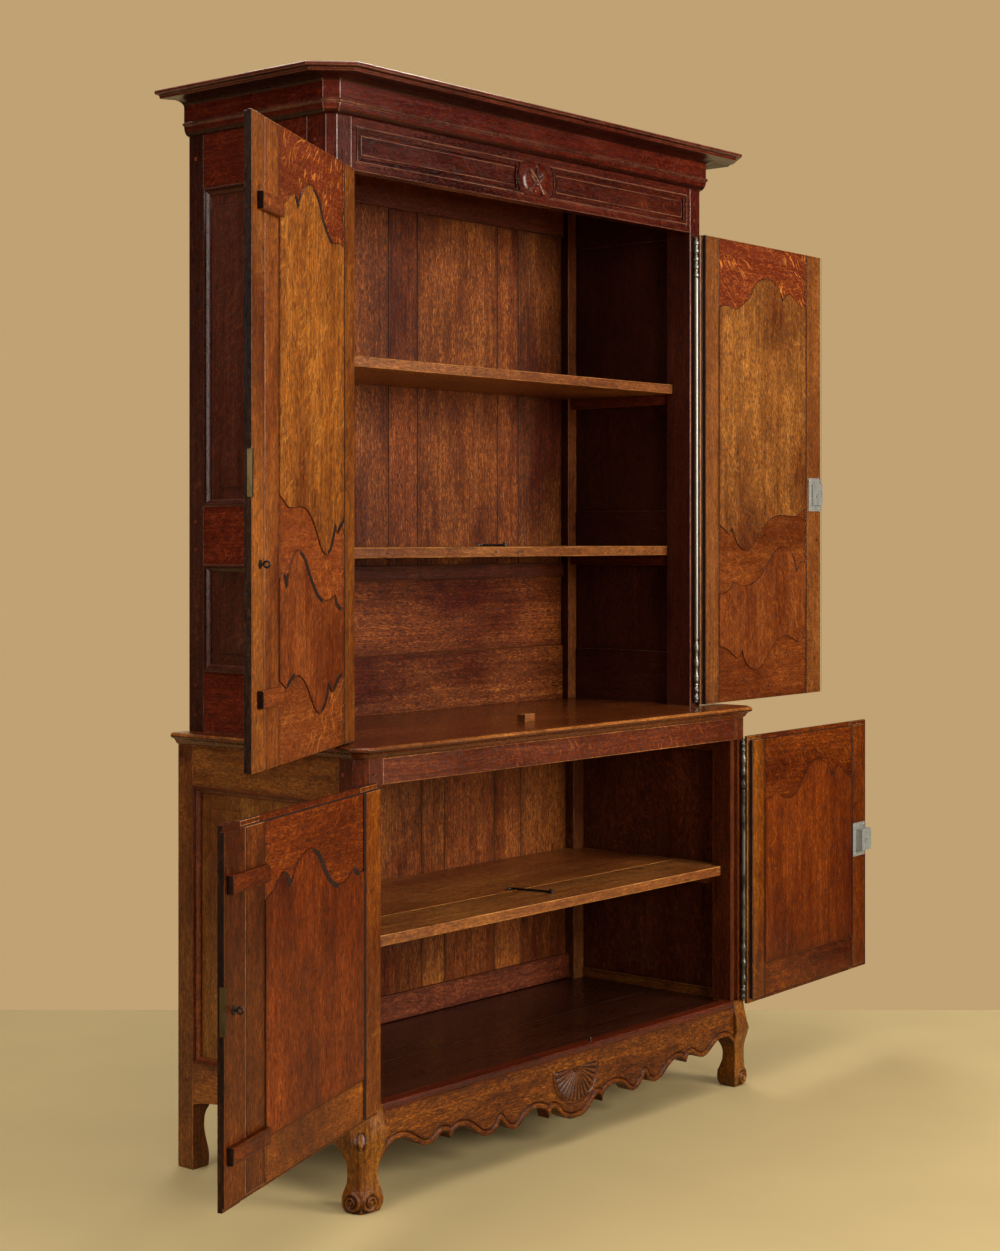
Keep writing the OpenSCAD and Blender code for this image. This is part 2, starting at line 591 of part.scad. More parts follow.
module upper_rails(s0, s1) {
    t = up_z[1];
    plate_xz(concat(edge(top_edge, s0, s1, t), [[s1, t], [s0, t]]), -door_out, door_in);
    plate_xz(concat(edge(mid_low, s0, s1, mid_z), rev(edge(mid_top, s0, s1, mid_z))), -door_out, door_in);
    plate_xz(concat([[s0, up_z[0]], [s1, up_z[0]]], rev(edge(low_top, s0, s1, low_z))), -door_out, door_in);
}
module upper_panels(s0, s1) {
    plate_xz(concat(edge(mid_top, s0, s1, mid_z), rev(edge(top_edge, s0, s1, up_z[1]))), 4, 19);
    plate_xz(concat(edge(low_top, s0, s1, low_z), rev(edge(mid_low, s0, s1, mid_z))), 4, 19);
    // raised fields on the outside
    box([s0 + 48, -1, 1462], [s1 - 48, 1, 1890]);
    box([s0 + 48, -1, 1112], [s1 - 48, 1, 1196]);
}
module lower_rails(s0, s1) {
    t = lo_z[1];
    for (q = [[-door_out, lip_in, lo_z], [lip_in, door_in, lo_zi]]) {
        plate_xz(concat(edge(base_edge, s0, s1, t), [[s1, q[2][1]], [s0, q[2][1]]]), q[0], q[1]);
        box([s0, q[0], q[2][0]], [s1, q[1], base_rail_z]);
    }
}
module lower_panel(s0, s1) {
    plate_xz(concat([[s0, base_rail_z], [s1, base_rail_z]], rev(edge(base_edge, s0, s1, lo_z[1]))), 4, 19);
    box([s0 + 48, -1, base_rail_z + 48], [s1 - 48, 1, 655]);
}
module cleats(s0, s1, rows) {
    for (z = rows) box([s0, door_in, z], [s1, door_in + 13, z + 32]);
}
// eye for the hook, on a small plate, and the strike that takes the lock bolt
module door_iron(s, z, edge_s, zs) {
    translate([s, door_in, z]) rotate([-90, 0, 0]) cylinder(h = 2, r = 8);
    translate([s, door_in + 2, z]) rotate([-90, 0, 0]) cylinder(h = 4, r = 2.4);
    translate([s, door_in + 13, z]) rotate([0, 90, 0]) rotate_extrude() translate([5.5, 0]) circle(r = 2, $fn = 16);
    box([edge_s, rebate_y + 1, zs], [edge_s + 0.8, door_in, zs + 84]);
    box([edge_s - 6, door_in, zs], [edge_s + 0.8, door_in + 1.2, zs + 84]);
}
// plate and box of a rim lock, with a slot for the bolt
module lock_case(s1, zs, plate_w, box_w, h, proud) {
    difference() {
        union() {
            box([s1 - plate_w, door_in, zs], [s1, door_in + 1.6, zs + h]);
            box([s1 - box_w, door_in + 1.6, zs + 16], [s1, door_in + proud, zs + h - 16]);
        }
        box([s1 - box_w + 6, door_in + 1.9, zs + h/2 - 7], [s1 + 1, door_in + 4.9, zs + h/2 + 7]);
    }
    // raised collar round the keyhole
    difference() {
        translate([s1 - box_w*0.55, door_in + proud, zs + h/2]) rotate([-90, 0, 0]) cylinder(h = 2, r = 8);
        translate([s1 - box_w*0.55, door_in + proud - 0.01, zs + h/2]) rotate([-90, 0, 0]) cylinder(h = 3, r = 3.2);
    }
}
module lock_bolt(s1, zs, h, box_w) {
    box([s1 - box_w + 18.5, door_in + 2.2, zs + h/2 - 6.5], [s1 + 3, door_in + 4.6, zs + h/2 + 6.5]);
}

// sizes along each leaf
ul_end = up_axis + up_meet - 1;          // inner layer's free edge
ll_end = base_axis + base_meet - 1;
ur_end = up_axis - up_meet - 1;
lr_end = base_axis - base_meet - 15;     // its outer layer laps further over
lr_lap = lap + 14;
ul_s = [stile_w, 505, ul_end - 72];
ll_s = [stile_w, 542, ll_end - 80];
ur_s = [stile_w - 16, ur_end - 78];
lr_s = [stile_w - 18, lr_end - 70];

module upper_left_door_stiles() { color(C_PANEL) left_door(up_axis, up_d, open_ul) {
    hinge_stile(up_tongue, up_z, up_z); plain_stile(ul_s[1], ul_s[2], up_z, up_z); } }
module upper_left_door_rails() { color(C_RAIL) left_door(up_axis, up_d, open_ul) upper_rails(ul_s[0], ul_s[1]); }
module upper_left_door_panels() { color(C_PANEL) left_door(up_axis, up_d, open_ul) upper_panels(ul_s[0], ul_s[1]); }
module upper_left_door_false_post() { color(C_PANEL) left_door(up_axis, up_d, open_ul) false_post(ul_s[2], ul_end, up_z, up_z); }
module upper_left_door_cleats() { color(C_RAIL) left_door(up_axis, up_d, open_ul) cleats(ul_s[1] + 6, ul_end - 28, [1048, 1930]); }
module upper_left_door_ironwork() { color(C_IRON) left_door(up_axis, up_d, open_ul) door_iron(ul_end - 44, 1303, ul_end, 1422); }
module upper_left_door_hinge_barrel() { color(C_STEEL) left_door(up_axis, up_d, open_ul) barrel(up_pin[2], up_pin[3], up_pin[4], up_pin[5]); }

module upper_right_door_stiles() { color(C_PANEL) right_door(up_axis, up_d, open_ur) {
    hinge_stile(up_tongue, up_z, up_z, ur_s[0]); lapping_stile(ur_s[1], ur_end, up_z, up_z); } }
module upper_right_door_rails() { color(C_RAIL) right_door(up_axis, up_d, open_ur) upper_rails(ur_s[0], ur_s[1]); }
module upper_right_door_panels() { color(C_PANEL) right_door(up_axis, up_d, open_ur) upper_panels(ur_s[0], ur_s[1]); }
module upper_right_door_lock_case() { color(C_STEEL) right_door(up_axis, up_d, open_ur) lock_case(ur_end, 1420, 64, 50, 88, 6.2); }
module upper_lock_bolt() { color(C_IRON) right_door(up_axis, up_d, open_ur) lock_bolt(ur_end, 1420, 88, 50); }
module upper_right_door_hinge_barrel() { color(C_STEEL) right_door(up_axis, up_d, open_ur) barrel(up_pin[2], up_pin[3], up_pin[4], up_pin[5]); }

module lower_left_door_stiles() { color(C_PANEL) left_door(base_axis, base_d, open_ll) {
    hinge_stile(lo_tongue, lo_z, lo_zi); plain_stile(ll_s[1], ll_s[2], lo_z, lo_zi); } }
module lower_left_door_rails() { color(C_RAIL) left_door(base_axis, base_d, open_ll) lower_rails(ll_s[0], ll_s[1]); }
module lower_left_door_panel() { color(C_PANEL) left_door(base_axis, base_d, open_ll) lower_panel(ll_s[0], ll_s[1]); }
module lower_left_door_false_post() { color(C_PANEL) left_door(base_axis, base_d, open_ll) false_post(ll_s[2], ll_end, lo_z, lo_zi); }
module lower_left_door_cleats() { color(C_RAIL) left_door(base_axis, base_d, open_ll) cleats(ll_s[1] + 2, ll_end - 10, [284, 745]); }
module lower_left_door_ironwork() { color(C_IRON) left_door(base_axis, base_d, open_ll) door_iron(ll_end - 35, 544, ll_end, 505); }
module lower_left_door_hinge_barrel() { color(C_STEEL) left_door(base_axis, base_d, open_ll) barrel(lo_pin[2], lo_pin[3], lo_pin[4], lo_pin[5]); }

module lower_right_door_stiles() { color(C_PANEL) right_door(base_axis, base_d, open_lr) {
    hinge_stile(lo_tongue, lo_z, lo_zi, lr_s[0]); lapping_stile(lr_s[1], lr_end, lo_z, lo_zi, lr_lap); } }
module lower_right_door_rails() { color(C_RAIL) right_door(base_axis, base_d, open_lr) lower_rails(lr_s[0], lr_s[1]); }
module lower_right_door_panel() { color(C_PANEL) right_door(base_axis, base_d, open_lr) lower_panel(lr_s[0], lr_s[1]); }
module lower_right_door_lock_case() { color(C_STEEL) right_door(base_axis, base_d, open_lr) lock_case(lr_end, 503, 66, 50, 88, 20); }
module lower_lock_bolt() { color(C_IRON) right_door(base_axis, base_d, open_lr) lock_bolt(lr_end, 503, 88, 50); }
module lower_right_door_hinge_barrel() { color(C_STEEL) right_door(base_axis, base_d, open_lr) barrel(lo_pin[2], lo_pin[3], lo_pin[4], lo_pin[5]); }

// ---------------------------------------------------------------- hooks
// pivot of each hook on its shelf: x, y, height of the shelf, heading at rest
hook_b = [-4, -338, shelf_b_z, 112, 62];
hook_c = [35, -443, shelf_c_z, 102, 110];
module staple(h) {
    translate([h[0], h[1], h[2]]) { cylinder(h = 9, r = 2.5); translate([0, 0, 7.6]) cylinder(h = 2.4, r = 4.6); }
}
module hook_staples() { color(C_IRON) at0() { staple(hook_b); staple(hook_c); } }
module hook(h) {
    l = h[4];
    at0() translate([h[0], h[1], h[2] + 4]) rotate([0, 0, h[3]]) {
        difference() {
            union() {
                translate([0, 0, -2.6]) cylinder(h = 5.2, r = 6.5);
                translate([4, 0, 0]) rotate([0, 90, 0]) cylinder(h = l - 16, r = 2.6);
            }
            translate([0, 0, -4]) cylinder(h = 8, r = 2.55);
        }
        // the bent tip
        translate([l - 12, 9, 0]) rotate([0, 0, -90]) rotate_extrude(angle = 120) translate([9, 0]) circle(r = 2.6, $fn = 20);
    }
}
module upper_hook() { color(C_IRON) hook(hook_b); }
module lower_hook() { color(C_IRON) hook(hook_c); }

// ---------------------------------------------------------------- output
base_front_posts();
base_back_posts();
base_side_rails();
base_side_panels();
base_front_rail();
base_apron();
base_shell_carving();
base_back_rails();
base_back_boards();
base_floor_boards();
base_shelf();
base_shelf_bearers();
worktop();
upper_front_posts();
upper_back_posts();
upper_side_rails();
upper_side_panels();
frieze_rail();
frieze_mouldings();
frieze_medallion();
upper_back_rails();
upper_back_boards();
upper_top_board();
upper_shelf_high();
upper_shelf_low();
upper_shelf_bearers();
cornice();
door_stop_block();
tenon_pegs();
hinge_pins();
hook_staples();
upper_left_door_stiles();
upper_left_door_rails();
upper_left_door_panels();
upper_left_door_false_post();
upper_left_door_cleats();
upper_left_door_ironwork();
upper_left_door_hinge_barrel();
upper_right_door_stiles();
upper_right_door_rails();
upper_right_door_panels();
upper_right_door_lock_case();
upper_right_door_hinge_barrel();
lower_left_door_stiles();
lower_left_door_rails();
lower_left_door_panel();
lower_left_door_false_post();
lower_left_door_cleats();
lower_left_door_ironwork();
lower_left_door_hinge_barrel();
lower_right_door_stiles();
lower_right_door_rails();
lower_right_door_panel();
lower_right_door_lock_case();
lower_right_door_hinge_barrel();
upper_lock_bolt();
lower_lock_bolt();
upper_hook();
lower_hook();
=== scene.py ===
import bpy, bmesh, math, json, random
import numpy as np
from mathutils import Vector, Matrix, noise


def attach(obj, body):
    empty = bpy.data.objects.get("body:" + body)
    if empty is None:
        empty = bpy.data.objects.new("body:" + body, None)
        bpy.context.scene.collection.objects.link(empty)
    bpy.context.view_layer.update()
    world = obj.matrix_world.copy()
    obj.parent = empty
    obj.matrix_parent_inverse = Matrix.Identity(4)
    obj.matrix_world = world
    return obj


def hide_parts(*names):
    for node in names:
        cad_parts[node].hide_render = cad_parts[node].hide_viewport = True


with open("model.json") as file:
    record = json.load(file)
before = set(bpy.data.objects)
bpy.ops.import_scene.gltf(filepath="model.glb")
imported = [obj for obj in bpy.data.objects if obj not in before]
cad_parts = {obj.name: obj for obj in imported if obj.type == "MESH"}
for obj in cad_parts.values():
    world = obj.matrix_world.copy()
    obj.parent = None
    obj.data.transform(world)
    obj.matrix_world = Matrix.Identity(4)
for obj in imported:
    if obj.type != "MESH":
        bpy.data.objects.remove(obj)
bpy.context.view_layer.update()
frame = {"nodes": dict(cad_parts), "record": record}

R = math.radians

# ------------------------------------------------------------------ layout
BY = 0.409                      # back plane, y in the frame
UP_AX, LO_AX = 0.621, 0.661     # hinge axes, +-x
UP_D, LO_D = 0.428, 0.541       # carcass depths
OFF = 0.008                     # axis in front of the carcass
ANG = {"upper_left_door": 152.7, "upper_right_door": 181.7,
       "lower_left_door": 159.8, "lower_right_door": 183.0}


def door_frame(door):
    """Matrix from a leaf's own frame (x to the free edge, y inwards, z up) to the rest pose."""
    up = door.startswith("upper")
    ax, d = (UP_AX, UP_D) if up else (LO_AX, LO_D)
    a = R(ANG[door])
    if "left" in door:
        return Matrix.Translation((-ax, BY - d - OFF, 0)) @ Matrix.Rotation(-a, 4, "Z")
    return Matrix.Translation((ax, BY - d - OFF, 0)) @ Matrix.Rotation(a, 4, "Z") @ Matrix.Scale(-1, 4, (1, 0, 0))


def node_frame(node):
    for d in ANG:
        if node.startswith(d + "_"):
            return door_frame(d)
    if node == "upper_lock_bolt":
        return door_frame("upper_right_door")
    if node == "lower_lock_bolt":
        return door_frame("lower_right_door")
    return Matrix.Identity(4)


# ------------------------------------------------------------------ materials
class Tree:
    def __init__(self, name):
        self.mat = bpy.data.materials.new(name)
        self.mat.use_nodes = True
        self.nt = self.mat.node_tree
        self.nt.nodes.clear()
        self.out = self.nt.nodes.new("ShaderNodeOutputMaterial")
        self.bsdf = self.nt.nodes.new("ShaderNodeBsdfPrincipled")
        self.nt.links.new(self.bsdf.outputs[0], self.out.inputs["Surface"])

    def link(self, a, b):
        self.nt.links.new(a, b)

    def put(self, sock, val):
        if isinstance(val, bpy.types.NodeSocket):
            self.link(val, sock)
        elif val is not None:
            sock.default_value = val

    def attr(self, name):
        n = self.nt.nodes.new("ShaderNodeAttribute")
        n.attribute_type = "GEOMETRY"
        n.attribute_name = name
        return n.outputs["Vector"]

    def objco(self):
        return self.nt.nodes.new("ShaderNodeTexCoord").outputs["Object"]

    def math(self, op, a, b=None, c=None, clamp=False):
        n = self.nt.nodes.new("ShaderNodeMath")
        n.operation = op
        n.use_clamp = clamp
        for i, v in enumerate((a, b, c)):
            if v is not None:
                self.put(n.inputs[i], v)
        return n.outputs[0]

    def vmath(self, op, a, b=None, scale=None):
        n = self.nt.nodes.new("ShaderNodeVectorMath")
        n.operation = op
        self.put(n.inputs[0], a)
        if b is not None:
            self.put(n.inputs[1], b)
        if scale is not None:
            self.put(n.inputs["Scale"], scale)
        return n.outputs["Value"] if op in ("LENGTH", "DOT_PRODUCT") else n.outputs["Vector"]

    def sep(self, v):
        n = self.nt.nodes.new("ShaderNodeSeparateXYZ")
        self.link(v, n.inputs[0])
        return n.outputs[0], n.outputs[1], n.outputs[2]

    def comb(self, x, y, z):
        n = self.nt.nodes.new("ShaderNodeCombineXYZ")
        for i, v in enumerate((x, y, z)):
            self.put(n.inputs[i], v)
        return n.outputs[0]

    def noise(self, v, scale=1.0, detail=4.0, rough=0.55, dist=0.0):
        n = self.nt.nodes.new("ShaderNodeTexNoise")
        self.link(v, n.inputs["Vector"])
        n.inputs["Scale"].default_value = scale
        n.inputs["Detail"].default_value = detail
        n.inputs["Roughness"].default_value = rough
        n.inputs["Distortion"].default_value = dist
        return n.outputs["Fac"]

    def voro(self, v, scale=1.0, feature="F1"):
        n = self.nt.nodes.new("ShaderNodeTexVoronoi")
        n.feature = feature
        self.link(v, n.inputs["Vector"])
        n.inputs["Scale"].default_value = scale
        return n.outputs["Distance"]

    def ramp(self, fac, stops, ease="LINEAR"):
        n = self.nt.nodes.new("ShaderNodeValToRGB")
        n.color_ramp.interpolation = ease
        e = n.color_ramp.elements
        while len(e) < len(stops):
            e.new(0.5)
        for el, (p, c) in zip(e, stops):
            el.position = p
            el.color = (c, c, c, 1) if isinstance(c, (int, float)) else (*c, 1)
        self.link(fac, n.inputs[0])
        return n.outputs["Color"]

    def remap(self, fac, a, b, c=0.0, d=1.0):
        n = self.nt.nodes.new("ShaderNodeMapRange")
        n.clamp = True
        for i, v in enumerate((fac, a, b, c, d)):
            self.put(n.inputs[i], v)
        return n.outputs[0]

    def mix(self, fac, a, b, mode="MIX"):
        n = self.nt.nodes.new("ShaderNodeMix")
        n.data_type = "RGBA"
        n.blend_type = mode
        self.put(n.inputs[0], fac)
        for s, v in ((n.inputs[6], a), (n.inputs[7], b)):
            if isinstance(v, tuple):
                s.default_value = (*v, 1)
            else:
                self.link(v, s)
        return n.outputs[2]

    def bump(self, height, strength, dist, normal=None):
        n = self.nt.nodes.new("ShaderNodeBump")
        n.inputs["Strength"].default_value = strength
        n.inputs["Distance"].default_value = dist
        self.link(height, n.inputs["Height"])
        if normal is not None:
            self.link(normal, n.inputs["Normal"])
        return n.outputs["Normal"]


def wood(name, dark, mid, light, rough=(0.32, 0.55), coat=0.06, coat_rough=0.16, spec=0.22,
         streak=1.0, ring=1.0, patina=0.5, grime=0.8, fleck=0.0, pore=0.8, wear=0.25,
         shift=0.15, swirl=1.0, mottle=0.5, undulate=0.35, ring_freq=120.0, stain=0.5, arris=None):
    """Old oak: fine streaks, growth rings, open pores, board-to-board change, dark edges and worn arrises.
    bco: place in the board (x along the grain), bdim: the board's half size, brnd: three random numbers."""
    t = Tree(name)
    bco, bdim, brnd = t.attr("bco"), t.attr("bdim"), t.attr("brnd")
    rx, ry, rz = t.sep(brnd)
    tex = t.vmath("ADD", bco, t.vmath("MULTIPLY", brnd, (7.1, 5.3, 3.7)))
    # slow wander of the grain
    wob = t.noise(t.vmath("MULTIPLY", tex, (1.5, 4.0, 4.0)), 1.0, 3.0, 0.5)
    wob2 = t.noise(t.vmath("MULTIPLY", tex, (6.0, 20.0, 20.0)), 1.0, 2.0, 0.5)
    off = t.math("ADD", t.math("MULTIPLY", t.math("SUBTRACT", wob, 0.5), 0.050 * swirl),
                 t.math("MULTIPLY", t.math("SUBTRACT", wob2, 0.5), 0.008 * swirl))
    x, y, z = t.sep(tex)
    _, by, bz = t.sep(bco)
    yw = t.math("ADD", y, off)
    warped = t.comb(x, yw, z)
    # growth rings round a pith that lies off the board
    cy = t.math("MULTIPLY", t.math("SUBTRACT", rx, 0.5), 0.34)
    cz = t.math("ADD", 0.045, t.math("MULTIPLY", ry, 0.16))
    ya = t.math("ADD", t.math("ADD", by, cy), t.math("MULTIPLY", off, 1.3))
    za = t.math("ADD", t.math("ADD", bz, cz), t.math("MULTIPLY", off, 0.8))
    rad = t.math("SQRT", t.math("ADD", t.math("MULTIPLY", ya, ya), t.math("MULTIPLY", za, za)))
    ringv = t.math("FRACT", t.math("MULTIPLY", rad, ring_freq))
    rings = t.ramp(ringv, [(0.0, 0.0), (0.55, 0.25), (0.86, 1.0), (0.95, 0.75), (1.0, 0.0)])
    # streaks along the grain, at three widths
    s1 = t.noise(t.vmath("MULTIPLY", warped, (1.4, 30.0, 30.0)), 1.0, 5.0, 0.6)
    s2 = t.noise(t.vmath("MULTIPLY", warped, (4.0, 130.0, 130.0)), 1.0, 3.0, 0.6)
    s3 = t.noise(t.vmath("MULTIPLY", warped, (75.0, 340.0, 340.0)), 1.0, 2.0, 0.6)
    s4 = t.noise(t.vmath("MULTIPLY", tex, (150.0, 210.0, 210.0)), 1.0, 2.0, 0.6)
    # open pores: short dark dashes, thicker in the early wood
    pv = t.noise(t.vmath("MULTIPLY", warped, (70.0, 430.0, 430.0)), 1.0, 2.0, 0.5)
    pth = t.math("SUBTRACT", 0.585, t.math("MULTIPLY", t.math("SUBTRACT", 1.0, rings), 0.05))
    pores = t.remap(t.math("SUBTRACT", pv, pth), 0.0, 0.06)
    # colour
    dark = tuple(0.62 * a + 0.38 * b for a, b in zip(dark, mid))
    g1 = t.math("ADD", t.math("ADD", t.math("MULTIPLY", s1, 0.14), t.math("MULTIPLY", s4, 0.26)),
                t.math("ADD", t.math("MULTIPLY", s2, 0.20), t.math("MULTIPLY", s3, 0.40)))
    f = t.remap(g1, 0.405, 0.57)
    col = t.mix(t.math("ADD", 1.0 - streak, t.math("MULTIPLY", f, streak), clamp=True), dark, mid)
    hi = t.remap(g1, 0.515, 0.62)
    col = t.mix(t.math("MULTIPLY", hi, 0.45 * streak, clamp=True), col, light)
    col = t.mix(t.math("MULTIPLY", rings, 0.30 * ring), col, t.mix(1.0, col, (0.52, 0.40, 0.36), "MULTIPLY"))
    col = t.mix(t.math("MULTIPLY", pores, 0.60 * pore), col, t.mix(1.0, col, (0.26, 0.17, 0.15), "MULTIPLY"))
    if fleck > 0:
        # silvery medullary flecks: short curved dashes across the grain
        bend = t.math("MULTIPLY", t.noise(t.vmath("MULTIPLY", tex, (9.0, 9.0, 9.0)), 1.0, 2.0, 0.5), 0.11)
        fa = t.math("ADD", t.math("MULTIPLY", t.math("ADD", x, bend), 0.80), t.math("MULTIPLY", y, 0.60))
        fb = t.math("SUBTRACT", t.math("MULTIPLY", y, 0.80), t.math("MULTIPLY", t.math("ADD", x, bend), 0.60))
        fl = t.noise(t.vmath("MULTIPLY", t.comb(fa, fb, z), (210.0, 24.0, 60.0)), 1.0, 1.0, 0.4)
        fl2 = t.noise(t.vmath("MULTIPLY", tex, (7.0, 12.0, 12.0)), 1.0, 2.0, 0.5)
        flm = t.math("MULTIPLY", t.remap(fl, 0.60, 0.66), t.remap(fl2, 0.42, 0.58))
        col = t.mix(t.math("MULTIPLY", flm, fleck), col, light)
    # board-to-board change of value and hue
    val = t.math("ADD", 1.0 - shift, t.math("MULTIPLY", rz, 2 * shift))
    warm = t.math("ADD", 0.90, t.math("MULTIPLY", rx, 0.18))
    col = t.mix(1.0, col, t.comb(val, t.math("MULTIPLY", val, warm), t.math("MULTIPLY", val, warm)), "MULTIPLY")
    # wide soft patina, then smaller blotches
    pt = t.noise(t.vmath("MULTIPLY", tex, (2.0, 4.5, 4.5)), 1.0, 4.0, 0.6)
    pf = t.remap(pt, 0.34, 0.64, 1.0 - 0.40 * patina, 1.0 + 0.24 * patina)
    pg = t.remap(pt, 0.34, 0.64, 1.0 - 0.52 * patina, 1.0 + 0.32 * patina)
    col = t.mix(1.0, col, t.comb(pf, pg, pg), "MULTIPLY")
    mo = t.noise(t.vmath("MULTIPLY", tex, (26.0, 62.0, 62.0)), 1.0, 5.0, 0.72)
    mf = t.remap(mo, 0.36, 0.62, 1.0 - 0.30 * mottle, 1.0 + 0.18 * mottle)
    col = t.mix(1.0, col, t.comb(mf, mf, mf), "MULTIPLY")
    # distance to the board's long and short edges, for dirt and for worn arrises; an arris colour, where given, is
    # partly a painted highlight
    ab = t.vmath("SUBTRACT", bdim, t.vmath("ABSOLUTE", bco))
    ex, ey, ez = t.sep(ab)
    en = t.noise(t.vmath("MULTIPLY", tex, (9.0, 16.0, 16.0)), 1.0, 4.0, 0.6)
    dist = t.math("MINIMUM", ex, ey)
    gr = t.remap(t.math("ADD", dist, t.math("MULTIPLY", t.math("SUBTRACT", en, 0.5), 0.016)), 0.0, 0.011, 1.0, 0.0)
    col = t.mix(t.math("MULTIPLY", gr, 0.62 * grime), col, t.mix(1.0, col, (0.34, 0.22, 0.19), "MULTIPLY"))
    second = t.math("MINIMUM", t.math("MAXIMUM", ey, ez), t.math("MAXIMUM", ex, ez))
    wr = t.remap(t.math("ADD", second, t.math("MULTIPLY", t.math("SUBTRACT", en, 0.5), 0.006)), 0.0, 0.0022, 1.0, 0.0)
    col = t.mix(t.math("MULTIPLY", wr, wear), col, arris or light)
    # small dents and stains
    sp = t.noise(t.vmath("MULTIPLY", tex, (38.0, 60.0, 60.0)), 1.0, 2.0, 0.5)
    spm = t.remap(sp, 0.67, 0.72)
    st = t.remap(t.noise(t.vmath("MULTIPLY", tex, (7.0, 9.0, 9.0)), 1.0, 5.0, 0.7), 0.60, 0.70)
    col = t.mix(t.math("MULTIPLY", spm, 0.55), col, t.mix(1.0, col, (0.30, 0.21, 0.18), "MULTIPLY"))
    col = t.mix(t.math("MULTIPLY", st, stain), col, t.mix(1.0, col, (0.42, 0.30, 0.26), "MULTIPLY"))
    # carved recesses: dark wax, with painted shade in the hollows
    ca = t.nt.nodes.new("ShaderNodeAttribute")
    ca.attribute_type = "GEOMETRY"
    ca.attribute_name = "cav"
    col = t.mix(ca.outputs["Fac"], col, t.mix(1.0, col, (0.16, 0.10, 0.08), "MULTIPLY"))
    t.link(col, t.bsdf.inputs["Base Color"])
    rr = t.remap(t.math("ADD", t.math("MULTIPLY", pt, 0.6), t.math("MULTIPLY", s2, 0.4)), 0.35, 0.65, rough[0], rough[1])
    rr = t.math("ADD", rr, t.math("MULTIPLY", pores, 0.18), clamp=True)
    t.link(rr, t.bsdf.inputs["Roughness"])
    t.bsdf.inputs["Coat Weight"].default_value = coat
    t.bsdf.inputs["Coat Roughness"].default_value = coat_rough
    t.bsdf.inputs["Specular IOR Level"].default_value = spec
    un = t.noise(t.vmath("MULTIPLY", tex, (4.0, 11.0, 11.0)), 1.0, 2.0, 0.5)
    n0 = t.bump(un, undulate, 0.004)
    h = t.math("ADD", t.math("MULTIPLY", t.math("SUBTRACT", 1.0, pores), 0.6),
               t.math("ADD", t.math("MULTIPLY", s3, 0.5), t.math("MULTIPLY", rings, -0.25)))
    h = t.math("SUBTRACT", h, t.math("MULTIPLY", spm, 1.2))
    n1 = t.bump(h, 0.45, 0.00045, n0)
    t.link(n1, t.bsdf.inputs["Normal"])
    return t.mat


def metal(name, base, rust, rough=(0.22, 0.45), metallic=1.0, rust_amt=0.4, hammer=0.0, scale=1.0, low=None, grit=1.0):
    t = Tree(name)
    co = t.objco()
    a = t.noise(t.vmath("MULTIPLY", co, (60.0 * scale, 60.0 * scale, 22.0 * scale)), 1.0, 5.0, 0.6)
    b = t.noise(t.vmath("MULTIPLY", co, (420.0, 420.0, 160.0)), 1.0, 4.0, 0.6)
    c = t.noise(t.vmath("MULTIPLY", co, (9.0, 9.0, 5.0)), 1.0, 3.0, 0.55)
    m = t.remap(t.math("ADD", t.math("MULTIPLY", a, 0.6), t.math("MULTIPLY", c, 0.4)), 0.50, 0.66)
    col = t.mix(t.math("MULTIPLY", m, rust_amt), base, rust)
    if low is not None:
        # the base's rods are darker and more pitted than the upper ones
        _, _, oz = t.sep(co)
        k = t.remap(oz, 0.86, 0.92, 1.0, 0.0)
        k = t.math("MULTIPLY", k, t.remap(a, 0.42, 0.56, 1.0, 0.25))
        col = t.mix(k, col, low)
    v = t.remap(b, 0.3, 0.7, 1.0 - 0.2 * grit, 1.0 + 0.15 * grit)
    col = t.mix(1.0, col, t.comb(v, v, v), "MULTIPLY")
    t.link(col, t.bsdf.inputs["Base Color"])
    t.bsdf.inputs["Metallic"].default_value = metallic
    t.link(t.remap(t.math("ADD", t.math("MULTIPLY", a, 0.5), t.math("MULTIPLY", b, 0.5)), 0.35, 0.65, rough[0], rough[1]),
           t.bsdf.inputs["Roughness"])
    n = t.bump(b, 0.35 * grit, 0.0002)
    if hammer:
        hv = t.noise(t.vmath("MULTIPLY", co, (130.0, 130.0, 130.0)), 1.0, 2.0, 0.5)
        n = t.bump(hv, hammer, 0.0015, n)
    t.link(n, t.bsdf.inputs["Normal"])
    return t.mat


